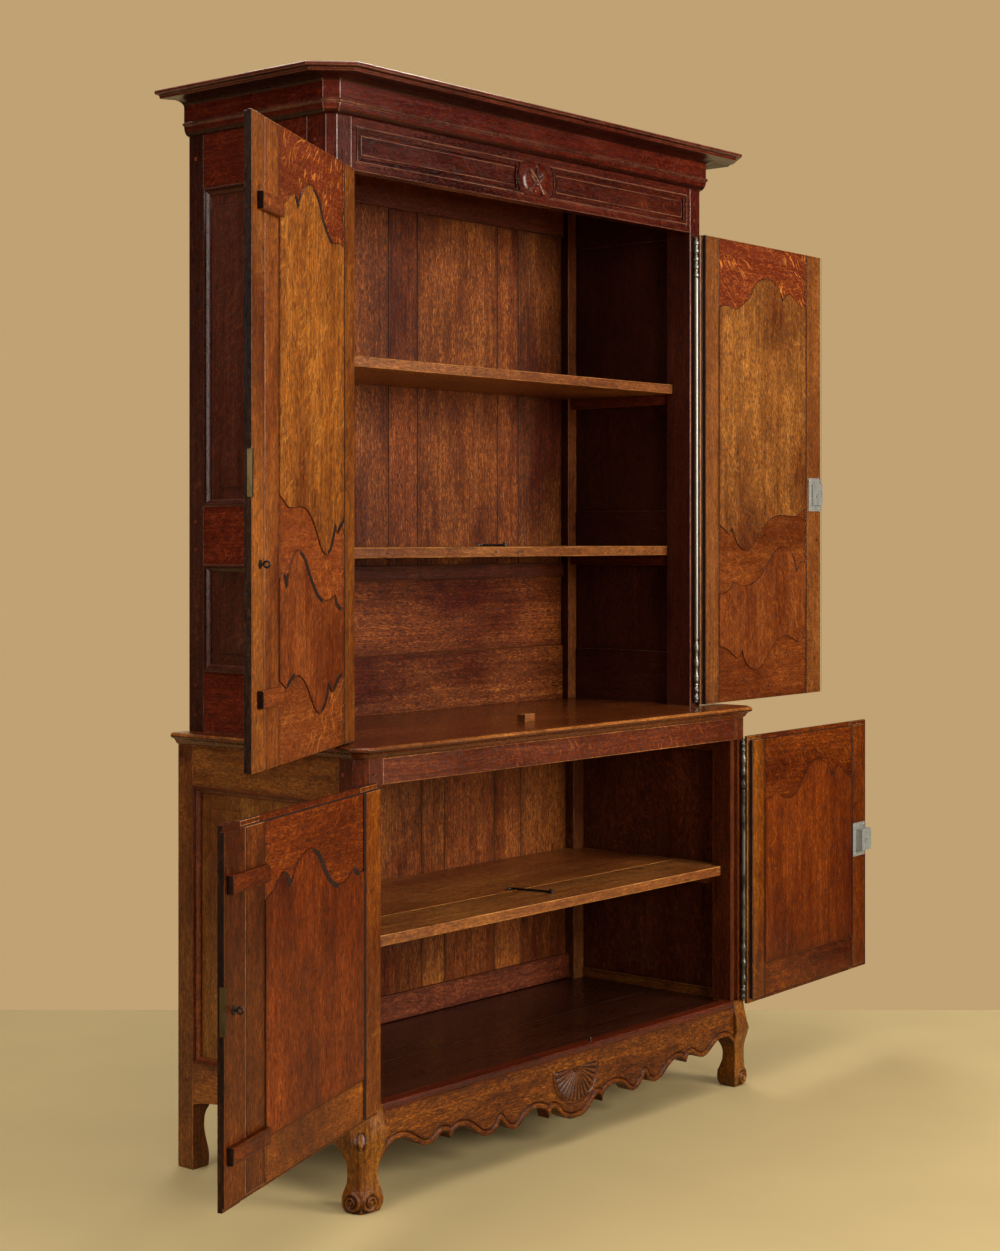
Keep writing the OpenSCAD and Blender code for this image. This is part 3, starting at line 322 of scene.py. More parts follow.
# linear colours: dark, mid, light
M = {
    # out and frieze: their arris colour lightens the worn arrises as a painted highlight
    "out": wood("oak_polished_deep", (0.0280, 0.0028, 0.0012), (0.0840, 0.0088, 0.0026), (0.1800, 0.0310, 0.0080),
                rough=(0.20, 0.36), coat=0.20, coat_rough=0.11, patina=0.9, wear=0.75, mottle=0.8, swirl=0.7,
                fleck=0.35, spec=0.16, arris=(0.240, 0.100, 0.055)),
    "frieze": wood("oak_frieze", (0.0160, 0.0017, 0.0008), (0.0480, 0.0056, 0.0017), (0.1250, 0.0230, 0.0058),
                   rough=(0.18, 0.34), coat=0.20, coat_rough=0.10, patina=1.4, wear=0.75, mottle=1.1, swirl=0.9,
                   fleck=0.35, spec=0.16, arris=(0.240, 0.100, 0.055)),
    # darker wood for the cornice's faces that look down: painted shade
    "out_painted_shade": wood("oak_polished_painted_shade", (0.0100, 0.0012, 0.0006), (0.0300, 0.0034, 0.0012), (0.0760, 0.0120, 0.0034),
                     rough=(0.22, 0.38), coat=0.15, coat_rough=0.12, patina=0.9, wear=0.3, mottle=0.8, fleck=0.2, spec=0.14),
    # bright golden wood for the worktop's rounded upper front edge: painted highlight
    "top_edge": wood("oak_worktop_edge", (0.1100, 0.0300, 0.0060), (0.3300, 0.1200, 0.0220), (0.5600, 0.2600, 0.0700),
                     rough=(0.16, 0.32), coat=0.20, coat_rough=0.09, patina=1.4, wear=0.3, mottle=1.2, stain=0.9),
    "raw": wood("oak_unpolished", (0.0260, 0.0090, 0.0036), (0.0800, 0.0300, 0.0120), (0.1700, 0.0740, 0.0320),
                rough=(0.60, 0.80), coat=0.0, spec=0.08, patina=1.2, wear=0.1, mottle=1.0, stain=0.8),
    "post": wood("oak_front_post", (0.0245, 0.0028, 0.0010), (0.0662, 0.0099, 0.0024), (0.1368, 0.0317, 0.0074),
                 rough=(0.24, 0.44), coat=0.15, coat_rough=0.14, patina=0.7, wear=0.45, mottle=0.6, fleck=0.3),
    "side": wood("oak_side", (0.0204, 0.0030, 0.0013), (0.0517, 0.0096, 0.0029), (0.1020, 0.0251, 0.0077),
                 rough=(0.26, 0.46), coat=0.14, coat_rough=0.16, patina=0.8, wear=0.35, mottle=0.7, fleck=0.35),
    "base": wood("oak_base", (0.0300, 0.0038, 0.0006), (0.1061, 0.0188, 0.0019), (0.2162, 0.0547, 0.0061),
                 rough=(0.28, 0.48), coat=0.12, patina=0.8, wear=0.45, mottle=0.6, fleck=0.25),
    "rail_lo": wood("oak_front_rail", (0.0288, 0.0038, 0.0008), (0.1080, 0.0178, 0.0024), (0.2495, 0.0655, 0.0089),
                    rough=(0.26, 0.46), coat=0.13, patina=0.8, wear=0.45, mottle=0.7, fleck=0.5),
    "leg": wood("oak_leg", (0.0536, 0.0119, 0.0009), (0.2300, 0.0760, 0.0050), (0.4700, 0.2150, 0.0200),
                rough=(0.30, 0.50), coat=0.08, spec=0.18, patina=0.9, wear=0.5, mottle=0.8, stain=0.7),
    "apron": wood("oak_apron", (0.0360, 0.0070, 0.0003), (0.1400, 0.0370, 0.0014), (0.2900, 0.1050, 0.0070),
                  rough=(0.32, 0.52), coat=0.05, spec=0.15, patina=1.6, wear=0.3, mottle=1.3, stain=0.9, swirl=1.6, grime=0.7,
                  streak=1.2, pore=1.2),
    "shell": wood("oak_shell", (0.0314, 0.0059, 0.0007), (0.1008, 0.0235, 0.0019), (0.2117, 0.0643, 0.0067),
                  rough=(0.34, 0.52), coat=0.07, patina=0.6, wear=0.0, mottle=0.8, grime=0.0),
    "sill": wood("oak_sill", (0.0209, 0.0020, 0.0003), (0.0754, 0.0095, 0.0010), (0.1826, 0.0345, 0.0037),
                 rough=(0.26, 0.44), coat=0.13, patina=0.8, wear=0.7, mottle=0.6),
    "inside": wood("oak_inside", (0.0480, 0.0084, 0.0015), (0.1900, 0.0450, 0.0066), (0.3500, 0.1200, 0.0180),
                   rough=(0.34, 0.56), coat=0.05, patina=1.5, shift=0.22, wear=0.15, mottle=0.9, stain=0.5, spec=0.16,
                   swirl=0.7, streak=1.35, pore=1.3, ring=1.5),
    "inside_dark": wood("oak_inside_dark", (0.0360, 0.0054, 0.0016), (0.1305, 0.0221, 0.0049), (0.2551, 0.0625, 0.0130),
                        rough=(0.30, 0.52), coat=0.09, patina=0.8, shift=0.2, wear=0.15, mottle=0.6, spec=0.25),
    "inside_low": wood("oak_inside_low", (0.0620, 0.0120, 0.0018), (0.2350, 0.0610, 0.0090), (0.3100, 0.1250, 0.0220),
                       rough=(0.34, 0.56), coat=0.06, patina=1.4, shift=0.12, wear=0.15, mottle=1.1, stain=0.7, spec=0.16,
                       swirl=0.8, streak=1.3, pore=1.3, ring=1.5),
    # lighter wood for the right back posts' front faces: painted light where the lamps fall on them
    "corner": wood("oak_corner_post", (0.0900, 0.0220, 0.0052), (0.2700, 0.0860, 0.0210), (0.4400, 0.1700, 0.0500),
                   rough=(0.34, 0.54), coat=0.05, patina=1.2, wear=0.3, mottle=1.0, stain=0.7, spec=0.2),
    "base_side": wood("oak_base_side", (0.0600, 0.0150, 0.0024), (0.1900, 0.0600, 0.0085), (0.3400, 0.1350, 0.0220),
                      rough=(0.28, 0.48), coat=0.10, patina=1.2, wear=0.45, mottle=0.9, fleck=0.3, stain=0.6),
    "burr": wood("oak_swirled", (0.0250, 0.0042, 0.0015), (0.1248, 0.0264, 0.0068), (0.2512, 0.0703, 0.0184),
                 rough=(0.36, 0.56), coat=0.06, patina=0.9, wear=0.15, mottle=1.0, swirl=5.0, ring=2.2, spec=0.2),
    "floor": wood("oak_floor", (0.0098, 0.0018, 0.0006), (0.0333, 0.0075, 0.0020), (0.0678, 0.0182, 0.0049),
                  rough=(0.22, 0.40), coat=0.17, coat_rough=0.12, patina=0.7, shift=0.12, wear=0.3, spec=0.3),
    "door": wood("oak_door_panel", (0.0972, 0.0225, 0.0025), (0.2539, 0.0815, 0.0079), (0.4019, 0.1646, 0.0229),
                 rough=(0.28, 0.46), coat=0.09, patina=1.2, streak=1.3, pore=1.3, shift=0.08, ring=1.1, wear=0.3, mottle=1.1, fleck=0.45),
    "door_rail": wood("oak_door_rail", (0.0720, 0.0105, 0.0017), (0.1620, 0.0322, 0.0041), (0.3024, 0.0868, 0.0126),
                      rough=(0.26, 0.44), coat=0.10, patina=0.7, shift=0.12, fleck=0.8, wear=0.3, mottle=0.7),
    "door_rail_top": wood("oak_door_rail_top", (0.060, 0.0075, 0.0018), (0.145, 0.0225, 0.0040), (0.420, 0.140, 0.0210),
                          rough=(0.26, 0.44), coat=0.10, patina=0.6, shift=0.12, fleck=0.95, wear=0.3, mottle=0.6),
    "door_deep": wood("oak_door_deep", (0.0760, 0.0120, 0.0020), (0.1750, 0.0400, 0.0050), (0.3200, 0.1000, 0.0150),
                      rough=(0.26, 0.44), coat=0.10, patina=1.3, streak=1.2, pore=1.2, shift=0.10, fleck=0.35, wear=0.3, mottle=1.1, swirl=2.0),
    "door_stile": wood("oak_door_stile", (0.0784, 0.0157, 0.0020), (0.2026, 0.0562, 0.0060), (0.3294, 0.1201, 0.0175),
                       rough=(0.26, 0.46), coat=0.10, patina=1.3, streak=1.2, pore=1.2, shift=0.10, wear=0.4, mottle=1.0, fleck=0.25),
    # lower doors' panel, rail and stile woods are darker and redder than the upper doors': partly painted shade for the
    # less lit lower part
    "lo_panel": wood("oak_low_door_panel", (0.0404, 0.0046, 0.0002), (0.1220, 0.0200, 0.0007), (0.2500, 0.0640, 0.0031),
                     rough=(0.28, 0.46), coat=0.05, spec=0.13, patina=1.3, shift=0.08, ring=1.1, wear=0.3, mottle=1.0),
    "lo_rail": wood("oak_low_door_rail", (0.0318, 0.0036, 0.0002), (0.1000, 0.0155, 0.0006), (0.2200, 0.0560, 0.0030),
                    rough=(0.26, 0.44), coat=0.05, spec=0.13, patina=1.3, shift=0.12, fleck=0.4, wear=0.4, mottle=1.0),
    "lo_stile": wood("oak_low_door_stile", (0.0359, 0.0042, 0.0002), (0.1150, 0.0185, 0.0008), (0.2350, 0.0600, 0.0034),
                     rough=(0.26, 0.46), coat=0.05, spec=0.13, patina=1.3, shift=0.10, wear=0.45, mottle=1.0, fleck=0.2),
    "lo_shade": wood("oak_low_door_shade", (0.0260, 0.0046, 0.0003), (0.0860, 0.0175, 0.0010), (0.1900, 0.0560, 0.0050),
                     rough=(0.28, 0.48), coat=0.04, spec=0.13, patina=1.5, shift=0.10, wear=0.5, mottle=1.1, fleck=0.2, stain=0.8),
    "lo_gold": wood("oak_low_door_gold", (0.0560, 0.0090, 0.0005), (0.1750, 0.0420, 0.0022), (0.3300, 0.1150, 0.0090),
                    rough=(0.26, 0.44), coat=0.05, spec=0.14, patina=1.3, shift=0.12, wear=0.45, mottle=1.0, fleck=0.35),
    "top": wood("oak_worktop", (0.0333, 0.0055, 0.0009), (0.1101, 0.0248, 0.0034), (0.2311, 0.0723, 0.0118),
                rough=(0.14, 0.30), coat=0.22, coat_rough=0.08, patina=0.9, wear=0.5, mottle=0.7, stain=0.6),
    "shelf": wood("oak_shelf", (0.0853, 0.0211, 0.0039), (0.2706, 0.0896, 0.0165), (0.4477, 0.1932, 0.0462),
                  rough=(0.30, 0.50), coat=0.06, patina=0.9, wear=0.6, mottle=0.8, stain=0.6),
    "shelf_edge": wood("oak_shelf_edge", (0.130, 0.034, 0.006), (0.400, 0.140, 0.024), (0.660, 0.300, 0.075),
                       rough=(0.32, 0.50), coat=0.08, patina=0.9, wear=0.6, mottle=0.9, stain=0.7),
    "ur_panel": wood("oak_ur_panel", (0.0700, 0.0165, 0.0022), (0.1860, 0.0570, 0.0075), (0.3100, 0.1200, 0.0240),
                     rough=(0.28, 0.46), coat=0.09, patina=1.3, streak=1.3, pore=1.3, shift=0.08, ring=1.1, wear=0.3, mottle=1.2, fleck=0.3),
    "ur_deep": wood("oak_ur_deep", (0.0560, 0.0090, 0.0012), (0.1500, 0.0340, 0.0034), (0.2800, 0.0900, 0.0120),
                    rough=(0.26, 0.44), coat=0.10, patina=1.0, shift=0.10, fleck=0.3, wear=0.3, mottle=0.9, swirl=2.5),
    "ur_stile": wood("oak_ur_stile", (0.0560, 0.0115, 0.0020), (0.1500, 0.0420, 0.0062), (0.2600, 0.0920, 0.0170),
                     rough=(0.26, 0.46), coat=0.10, patina=1.1, shift=0.12, wear=0.4, mottle=0.8, fleck=0.25),
    # near-black wood for door edges and cleat ends turned from the lamps: painted shade
    "edge_painted_shade": wood("oak_edge_painted_shade", (0.0060, 0.0030, 0.0014), (0.0260, 0.0085, 0.0030), (0.0900, 0.0300, 0.0080),
                      rough=(0.45, 0.70), coat=0.0, spec=0.08, patina=1.5, wear=0.25, mottle=1.2, stain=0.9),
    # lighter woods for the bevelled arrises: worn arrises, with a painted highlight along them
    "arris_red_wear_highlight": wood("oak_arris_red_wear_painted_highlight", (0.0480, 0.0104, 0.0050), (0.1380, 0.0442, 0.0240), (0.2520, 0.1144, 0.0650),
                      rough=(0.20, 0.34), coat=0.35, coat_rough=0.10, patina=1.2, wear=0.0, grime=0.0, mottle=1.2, stain=0.8, spec=0.35),
    "arris_gold_wear_highlight": wood("oak_arris_gold_wear_painted_highlight", (0.080, 0.020, 0.005), (0.260, 0.090, 0.020), (0.480, 0.210, 0.060),
                       rough=(0.24, 0.38), coat=0.20, coat_rough=0.12, patina=1.2, wear=0.0, grime=0.0, mottle=1.2, stain=0.8, spec=0.3),
    # unpolished wood for the carcass's inner faces, darker: painted shade on the inner walls
    "side_in_painted_shade": wood("oak_side_inner_painted_shade", (0.0190, 0.0026, 0.0010), (0.0500, 0.0085, 0.0026), (0.1000, 0.0230, 0.0070),
                    rough=(0.34, 0.55), coat=0.04, patina=0.8, wear=0.2, mottle=0.7),
    "seam": wood("oak_seam", (0.0280, 0.0060, 0.0012), (0.0620, 0.0150, 0.0024), (0.1000, 0.0280, 0.0050),
                 rough=(0.5, 0.7), coat=0.00, wear=0.0, spec=0.1),
    # near-black wood for painted shade on the doors: step faces, shadow strips and cut marks
    "painted_shade_dark": wood("oak_painted_shade_dark", (0.0064, 0.0018, 0.0008), (0.0200, 0.0050, 0.0019), (0.0420, 0.0115, 0.0038),
                  rough=(0.5, 0.7), coat=0.00, wear=0.0, spec=0.2),
    "steel": metal("steel_rod", (0.17, 0.17, 0.145), (0.10, 0.085, 0.065), rough=(0.34, 0.40), rust_amt=0.35,
                   low=(0.030, 0.027, 0.024), grit=0.06),
    "lock": metal("lock_iron", (0.27, 0.28, 0.26), (0.09, 0.065, 0.048), rough=(0.46, 0.62), rust_amt=0.55, metallic=0.5),
    "iron": metal("wrought_iron", (0.050, 0.042, 0.038), (0.050, 0.022, 0.012), rough=(0.38, 0.62), rust_amt=0.6, hammer=0.5),
    "brass": metal("dull_brass", (0.080, 0.054, 0.022), (0.026, 0.016, 0.008), rough=(0.32, 0.50), rust_amt=0.6),
}


# ------------------------------------------------------------------ meshes
def islands(bm):
    bm.faces.ensure_lookup_table()
    for f in bm.faces:
        f.tag = False
    out = []
    for f in bm.faces:
        if f.tag:
            continue
        f.tag = True
        group, stack = [f], [f]
        while stack:
            a = stack.pop()
            for e in a.edges:
                for g in e.link_faces:
                    if not g.tag:
                        g.tag = True
                        group.append(g)
                        stack.append(g)
        out.append(group)
    return out


def stamp(bm, to_local, seed, grain=None, split=None):
    """Writes each board's own coordinates on its corners. grain: forces the grain axis (0, 1, 2);
    split: a function of a face centre that gives a key and an axis, for a run made of several lengths."""
    lco = bm.loops.layers.float_vector.new("bco")
    ldm = bm.loops.layers.float_vector.new("bdim")
    lrn = bm.loops.layers.float_vector.new("brnd")
    rng = random.Random(seed)
    for group in islands(bm):
        parts = {}
        for f in group:
            k = split(f.calc_center_median()) if split else (0, grain)
            parts.setdefault(k, []).append(f)
        for (key, ax) in sorted(parts, key=str):
            faces = parts[(key, ax)]
            pts = [to_local @ l.vert.co for f in faces for l in f.loops]
            lo = Vector([min(p[i] for p in pts) for i in range(3)])
            hi = Vector([max(p[i] for p in pts) for i in range(3)])
            c, h = (lo + hi) / 2, (hi - lo) / 2
            order = sorted(range(3), key=lambda i: -h[i])
            if ax is not None:
                order = [ax] + [i for i in order if i != ax]
            rnd = Vector((rng.random(), rng.random(), rng.random()))
            dm = Vector((h[order[0]], h[order[1]], h[order[2]]))
            k = 0
            for f in faces:
                for l in f.loops:
                    p = pts[k] - c
                    k += 1
                    l[lco] = (p[order[0]], p[order[1]], p[order[2]])
                    l[ldm] = dm
                    l[lrn] = rnd


def finish_mesh(bm, name, mat, body, angle=38, weighted=True, cav=None):
    me = bpy.data.meshes.new(name)
    bm.normal_update()
    bm.to_mesh(me)
    bm.free()
    if cav is not None:
        me.attributes.new("cav", "FLOAT", "POINT").data.foreach_set("value", cav)
    for p in me.polygons:
        p.use_smooth = True
    me.set_sharp_from_angle(angle=R(angle))
    me.materials.append(mat)
    ob = bpy.data.objects.new(name, me)
    bpy.context.scene.collection.objects.link(ob)
    if weighted:
        w = ob.modifiers.new("weighted", "WEIGHTED_NORMAL")
        w.keep_sharp = True
        w.weight = 80
    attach(ob, body)
    return ob


def body_of(node):
    for b, ns in frame["record"]["behaviour"]["bodies"].items():
        if node in ns:
            return b


SEED = [100]


def cad_copy(node, mat, bevel=0.0012, grain=None, split=None, edit=None, seg=2, arris=None):
    """A clean copy of a CAD node: welded, flat faces joined, arrises eased, boards told apart."""
    src = frame["nodes"][node]
    bm = bmesh.new()
    bm.from_mesh(src.data)
    bmesh.ops.remove_doubles(bm, verts=bm.verts, dist=2e-5)
    bmesh.ops.dissolve_limit(bm, angle_limit=R(0.6), verts=bm.verts, edges=bm.edges)
    if edit:
        edit(bm)
    if bevel:
        es = [e for e in bm.edges if len(e.link_faces) == 2 and e.calc_face_angle(0) > R(28)]
        # with an arris wood given, the bevel faces take it: wear and painted highlight lines
        bmesh.ops.bevel(bm, geom=es, offset=bevel, offset_type="OFFSET", segments=seg, profile=0.5,
                        affect="EDGES", clamp_overlap=True, material=1 if arris else -1)
    SEED[0] += 1
    stamp(bm, node_frame(node).inverted(), SEED[0] * 7, grain, split)
    ob = finish_mesh(bm, "v_" + node, M[mat], body_of(node))
    if arris:
        ob.data.materials.append(M[arris])
    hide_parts(node)
    return ob


def set_mat(node, mat):
    o = frame["nodes"][node]
    o.data.materials.clear()
    o.data.materials.append(M[mat])


def face_mat(ob, mat, test):
    """Second material on the faces that a test of normal and centre picks."""
    slot = len(ob.data.materials)
    ob.data.materials.append(M[mat])
    for p in ob.data.polygons:
        if p.material_index == 0 and test(p.normal, p.center):
            p.material_index = slot
    return ob


# ------------------------------------------------------------------ carcass
def ring_split(hw, d):
    def f(c):
        y = c.y - BY
        if abs(c.x) > hw - 0.03 and y > -(d - 0.05):
            return ("l" if c.x < 0 else "r", 1)
        return ("f", 0)
    return f


def cut_at(z):
    """Edit for cad_copy: a seam all round at height z."""
    def f(bm):
        bmesh.ops.bisect_plane(bm, geom=bm.verts[:] + bm.edges[:] + bm.faces[:], plane_co=(0, 0, z), plane_no=(0, 0, 1))
    return f


def cut_below(z):
    """Edit for cad_copy: keeps what stands above height z."""
    def f(bm):
        bmesh.ops.bisect_plane(bm, geom=bm.verts[:] + bm.edges[:] + bm.faces[:], plane_co=(0, 0, z),
                               plane_no=(0, 0, 1), clear_inner=True)
        bmesh.ops.holes_fill(bm, edges=[e for e in bm.edges if len(e.link_faces) == 1], sides=0)
    return f


def by_height(*cuts):
    """Split for cad_copy: grain upright, one board per band of height."""
    return lambda c: (sum(c.z > h for h in cuts), 2)


# bevelled arrises here and below take the lighter arris woods: wear and painted highlight
cad_copy("base_front_posts", "base", 0.0018, grain=2, edit=cut_below(0.2119), arris="arris_gold_wear_highlight")
# the right back post's front face takes the lighter wood: painted light
face_mat(cad_copy("base_back_posts", "base_side", 0.0018, grain=2, arris="arris_gold_wear_highlight"), "corner",
         lambda n, c: n.y < -0.7 and c.x > 0)
cad_copy("base_side_rails", "base_side", 0.0014, grain=1, arris="arris_gold_wear_highlight")
face_mat(cad_copy("base_side_panels", "base_side", 0.0012, grain=2), "burr", lambda n, c: n.x * c.x < 0 and abs(n.x) > 0.6)
cad_copy("base_front_rail", "rail_lo", 0.0022, grain=0, arris="arris_gold_wear_highlight")
cad_copy("base_back_rails", "burr", 0.0012, grain=0)
cad_copy("base_back_boards", "inside_low", 0.0012, grain=2)
cad_copy("base_floor_boards", "floor", 0.0012, grain=0)



face_mat(cad_copy("base_shelf", "shelf", 0.0022, grain=0), "shelf_edge", lambda n, c: n.y < -0.7)
cad_copy("base_shelf_bearers", "inside_low", 0.001)
# the worktop's rounded upper front edge takes the bright edge wood: painted highlight
face_mat(cad_copy("worktop", "top", 0.0, grain=0), "top_edge", lambda n, c: 0.15 < n.z < 0.93 and c.z > 0.922)
# the inner faces of the upper posts, rails and sides take the darker unpolished wood: painted shade on the inner walls
face_mat(face_mat(cad_copy("upper_front_posts", "post", 0.0016, grain=2, edit=cut_at(2.105), arris="arris_red_wear_highlight"), "out",
                  lambda n, c: c.z > 2.105), "side_in_painted_shade", lambda n, c: n.x * c.x < 0 and abs(n.x) > 0.6)
# the right back post's front face takes the lighter wood: painted light
face_mat(cad_copy("upper_back_posts", "side", 0.0012, grain=2), "corner", lambda n, c: n.y < -0.7 and c.x > 0)
face_mat(cad_copy("upper_side_rails", "out", 0.0014, grain=1, arris="arris_red_wear_highlight"), "side_in_painted_shade", lambda n, c: n.x * c.x < 0 and abs(n.x) > 0.6)
face_mat(cad_copy("upper_side_panels", "side", 0.0012, grain=2), "side_in_painted_shade", lambda n, c: n.x * c.x < 0 and abs(n.x) > 0.6)
cad_copy("frieze_rail", "frieze", 0.0020, grain=0, arris="arris_red_wear_highlight")
cad_copy("frieze_mouldings", "frieze", 0.0015, grain=0, seg=2, arris="arris_red_wear_highlight")
cad_copy("upper_back_rails", "inside_dark", 0.0012, grain=0)
cad_copy("upper_back_boards", "inside", 0.0012,
         split=lambda c: (0, 0 if c.z < 1.26 else 2))
cad_copy("upper_top_board", "raw", 0.001, grain=1)
cad_copy("upper_shelf_high", "shelf", 0.0022, grain=0)
cad_copy("upper_shelf_low", "shelf", 0.0022, grain=0)
cad_copy("upper_shelf_bearers", "inside_dark", 0.001)
# the cornice's faces that look down take the darker wood: painted shade under the mouldings
face_mat(cad_copy("cornice", "out", 0.0016, split=ring_split(0.664, 0.428), arris="arris_red_wear_highlight"), "out_painted_shade",
         lambda n, c: n.z < -0.55)
face_mat(bpy.data.objects["v_cornice"], "raw", lambda n, c: n.z > 0.8 or c.z > 2.19 and n.y > 0.3 and c.y < 0.3)
cad_copy("door_stop_block", "shelf", 0.0015, grain=0)
cad_copy("tenon_pegs", "inside_dark", 0.0)
set_mat("hinge_pins", "steel")
set_mat("hook_staples", "iron")

# ------------------------------------------------------------------ doors
DIN = 0.017                                            # inner face of every door


def on_door(door, s, y, z):
    return door_frame(door) @ Vector((s, y, z))


def door_dir(door, v):
    return (door_frame(door).to_3x3() @ Vector(v)).normalized()


def shadow_lines(door, nodes):
    """Line on the panels along every edge of the frame: a fine dark seam at the joint, and a wide strip of painted
    shadow where the frame's step is in shade.
    """
    left, up = "left" in door, "upper" in door
    inv, fr = door_frame(door).inverted(), door_frame(door)
    rot = inv.to_3x3()
    dark, fine = bmesh.new(), bmesh.new()
    y = 0.0193
    for node in nodes:
        me = frame["nodes"][node].data
        co = [inv @ v.co for v in me.vertices]
        lo = [min(c[k] for c in co) for k in range(3)]
        hi = [max(c[k] for c in co) for k in range(3)]
        for p in me.polygons:
            n = (rot @ p.normal).normalized()
            if abs(n.y) > 0.3:
                continue
            q = [co[i] for i in p.vertices]
            c = sum(q, Vector()) / len(q)
            if node.endswith("stiles") and (abs(n.x) < 0.9 or min(c.x - lo[0], hi[0] - c.x) < 0.004):
                continue
            if node.endswith("rails") and (abs(n.x) > 0.995 or min(c.z - lo[2], hi[2] - c.z) < 0.004):
                continue
            e = [a for a in q if abs(a.y - DIN) < 0.0006]
            for a, b in zip(e[:-1], e[1:]):
                if (a - b).length < 1e-4:
                    continue
                # wide strips are painted shadow, on the side of the frame's step that is in shade
                side = max(0.0, n.x if left else -n.x)
                wide = side > 0.22 if left else side > 0.75
                if wide:
                    w = 0.0020 + (0.0120 if left else 0.0030) * side ** 0.6
                    if node.endswith("stiles"):
                        w = (0.0045 if up else 0.0105) if left else 0.0034
                else:
                    w = 0.0009
                u = Vector((n.x, 0, n.z)).normalized()
                pts = [Vector((a.x, y, a.z)) - u * 0.0004, Vector((b.x, y, b.z)) - u * 0.0004,
                       Vector((b.x, y, b.z)) + u * w, Vector((a.x, y, a.z)) + u * w]
                bm = dark if wide else fine
                f = bm.faces.new([bm.verts.new(fr @ v) for v in pts])
                f.normal_update()
                if f.normal.dot(door_dir(door, (0, 1, 0))) < 0:
                    f.normal_flip()
    stamp(dark, inv, 870, 2)
    finish_mesh(dark, "v_painted_shadow_lines_" + door, M["painted_shade_dark"], door, weighted=False)
    stamp(fine, inv, 871, 2)
    finish_mesh(fine, "v_seams_" + door, M["seam"], door, weighted=False)


def reveal(ob, door, mat, ends):
    """Painted shade: dark material on the faces that look at a panel. ends: 0 keeps both sides along x, 2 along z."""
    inv = door_frame(door).inverted()
    rot = inv.to_3x3()
    co = [inv @ v.co for v in ob.data.vertices]
    lo, hi = (min(c[ends] for c in co), max(c[ends] for c in co))
    slot = len(ob.data.materials)
    ob.data.materials.append(M[mat])
    for p in ob.data.polygons:
        n, c = (rot @ p.normal), inv @ p.center
        if abs(n.y) < 0.45 and lo + 0.004 < c[ends] < hi - 0.004:
            p.material_index = slot


for d in ("upper_left_door", "upper_right_door", "lower_left_door", "lower_right_door"):
    up = d.startswith("upper")
    st = cad_copy(d + "_stiles", (("ur_stile" if "right" in d else "door_stile") if up else "lo_stile"), 0.0018, grain=2,
                  arris="arris_gold_wear_highlight")
    # the step faces beside the panels take the near-black wood: painted shade
    reveal(st, d, "painted_shade_dark", 0)
    dinv = door_frame(d).inverted()
    ss = [(dinv @ v.co).x for v in st.data.vertices]
    half = 0.5 * (min(ss) + max(ss))
    if not up:
        face_mat(st, "lo_gold", lambda n, c: (dinv @ c).x < half)
        if "left" in d:
            face_mat(st, "lo_shade", lambda n, c: (dinv @ c).x > half)
    rails = cad_copy(d + "_rails", (("ur_deep" if "right" in d else "door_rail") if up else "lo_rail"), 0.0013, grain=0)
    if up:
        rails.data.materials.append(M["door_rail_top"])
        for p in rails.data.polygons:
            if p.center.z > 1.85:
                p.material_index = 1
    reveal(rails, d, "painted_shade_dark", 2)
    if d == "lower_left_door":
        face_mat(rails, "lo_gold", lambda n, c: c.z < 0.4)
    pan = cad_copy(d + ("_panels" if up else "_panel"), (("ur_panel" if "right" in d else "door") if up else "lo_panel"), 0.001, grain=2)
    if up:
        face_mat(pan, "ur_deep" if "right" in d else "door_deep", lambda n, c: c.z < 1.36)
    shadow_lines(d, (d + "_stiles", d + "_rails"))
    set_mat(d + "_hinge_barrel", "steel")
    if "left" in d:
        out = door_dir(d, (1, 0, 0))
        # the false post's outer edge face and the cleats' end faces take the near-black wood: painted shade
        face_mat(cad_copy(d + "_false_post", "door_stile" if up else "lo_shade", 0.0012, grain=2), "edge_painted_shade",
                 lambda n, c: n.dot(out) > 0.7)
        face_mat(cad_copy(d + "_cleats", "door_rail" if up else "lo_panel", 0.0022, grain=0, seg=3), "edge_painted_shade",
                 lambda n, c: abs(n.dot(out)) > 0.7)
        inv = door_frame(d).inverted()
        far = max((inv @ v.co).x for v in frame["nodes"][d + "_ironwork"].data.vertices)
        face_mat(cad_copy(d + "_ironwork", "iron", 0.0003), "brass", lambda n, c: (inv @ c).x > far - 0.010)
    else:
        set_mat(d + "_lock_case", "lock")
set_mat("upper_lock_bolt", "iron")
set_mat("lower_lock_bolt", "iron")
set_mat("upper_hook", "iron")
set_mat("lower_hook", "iron")


# ------------------------------------------------------------------ carved work
def cr(a, b, c, d, t):
    return 0.5 * (2 * b + (c - a) * t + (2 * a - 5 * b + 4 * c - d) * t * t + (3 * b - a - 3 * c + d) * t ** 3)


def spline(p, n):
    out = []
    for i in range(len(p) - 1):
        q = [p[max(i - 1, 0)], p[i], p[i + 1], p[min(i + 2, len(p) - 1)]]
        out += [tuple(cr(q[0][k], q[1][k], q[2][k], q[3][k], j / n) for k in (0, 1)) for j in range(n)]
    return out + [tuple(p[-1])]


# half of the apron's lower edge, the same points as in the CAD
APRON = [
    [(0, 57), (26, 59), (50, 71), (70, 89), (86, 93), (97, 74)],
    [(97, 74), (104, 92), (122, 101), (150, 105), (180, 95), (198, 81), (216, 75), (238, 82), (263, 106)],
    [(263, 106), (272, 92), (288, 82), (308, 80), (330, 87), (352, 103), (376, 115), (404, 117), (428, 101)],
    [(428, 101), (436, 115), (452, 118), (474, 107), (496, 101), (520, 107), (540, 119), (562, 130), (588, 133),
     (612, 126), (631, 109)]]


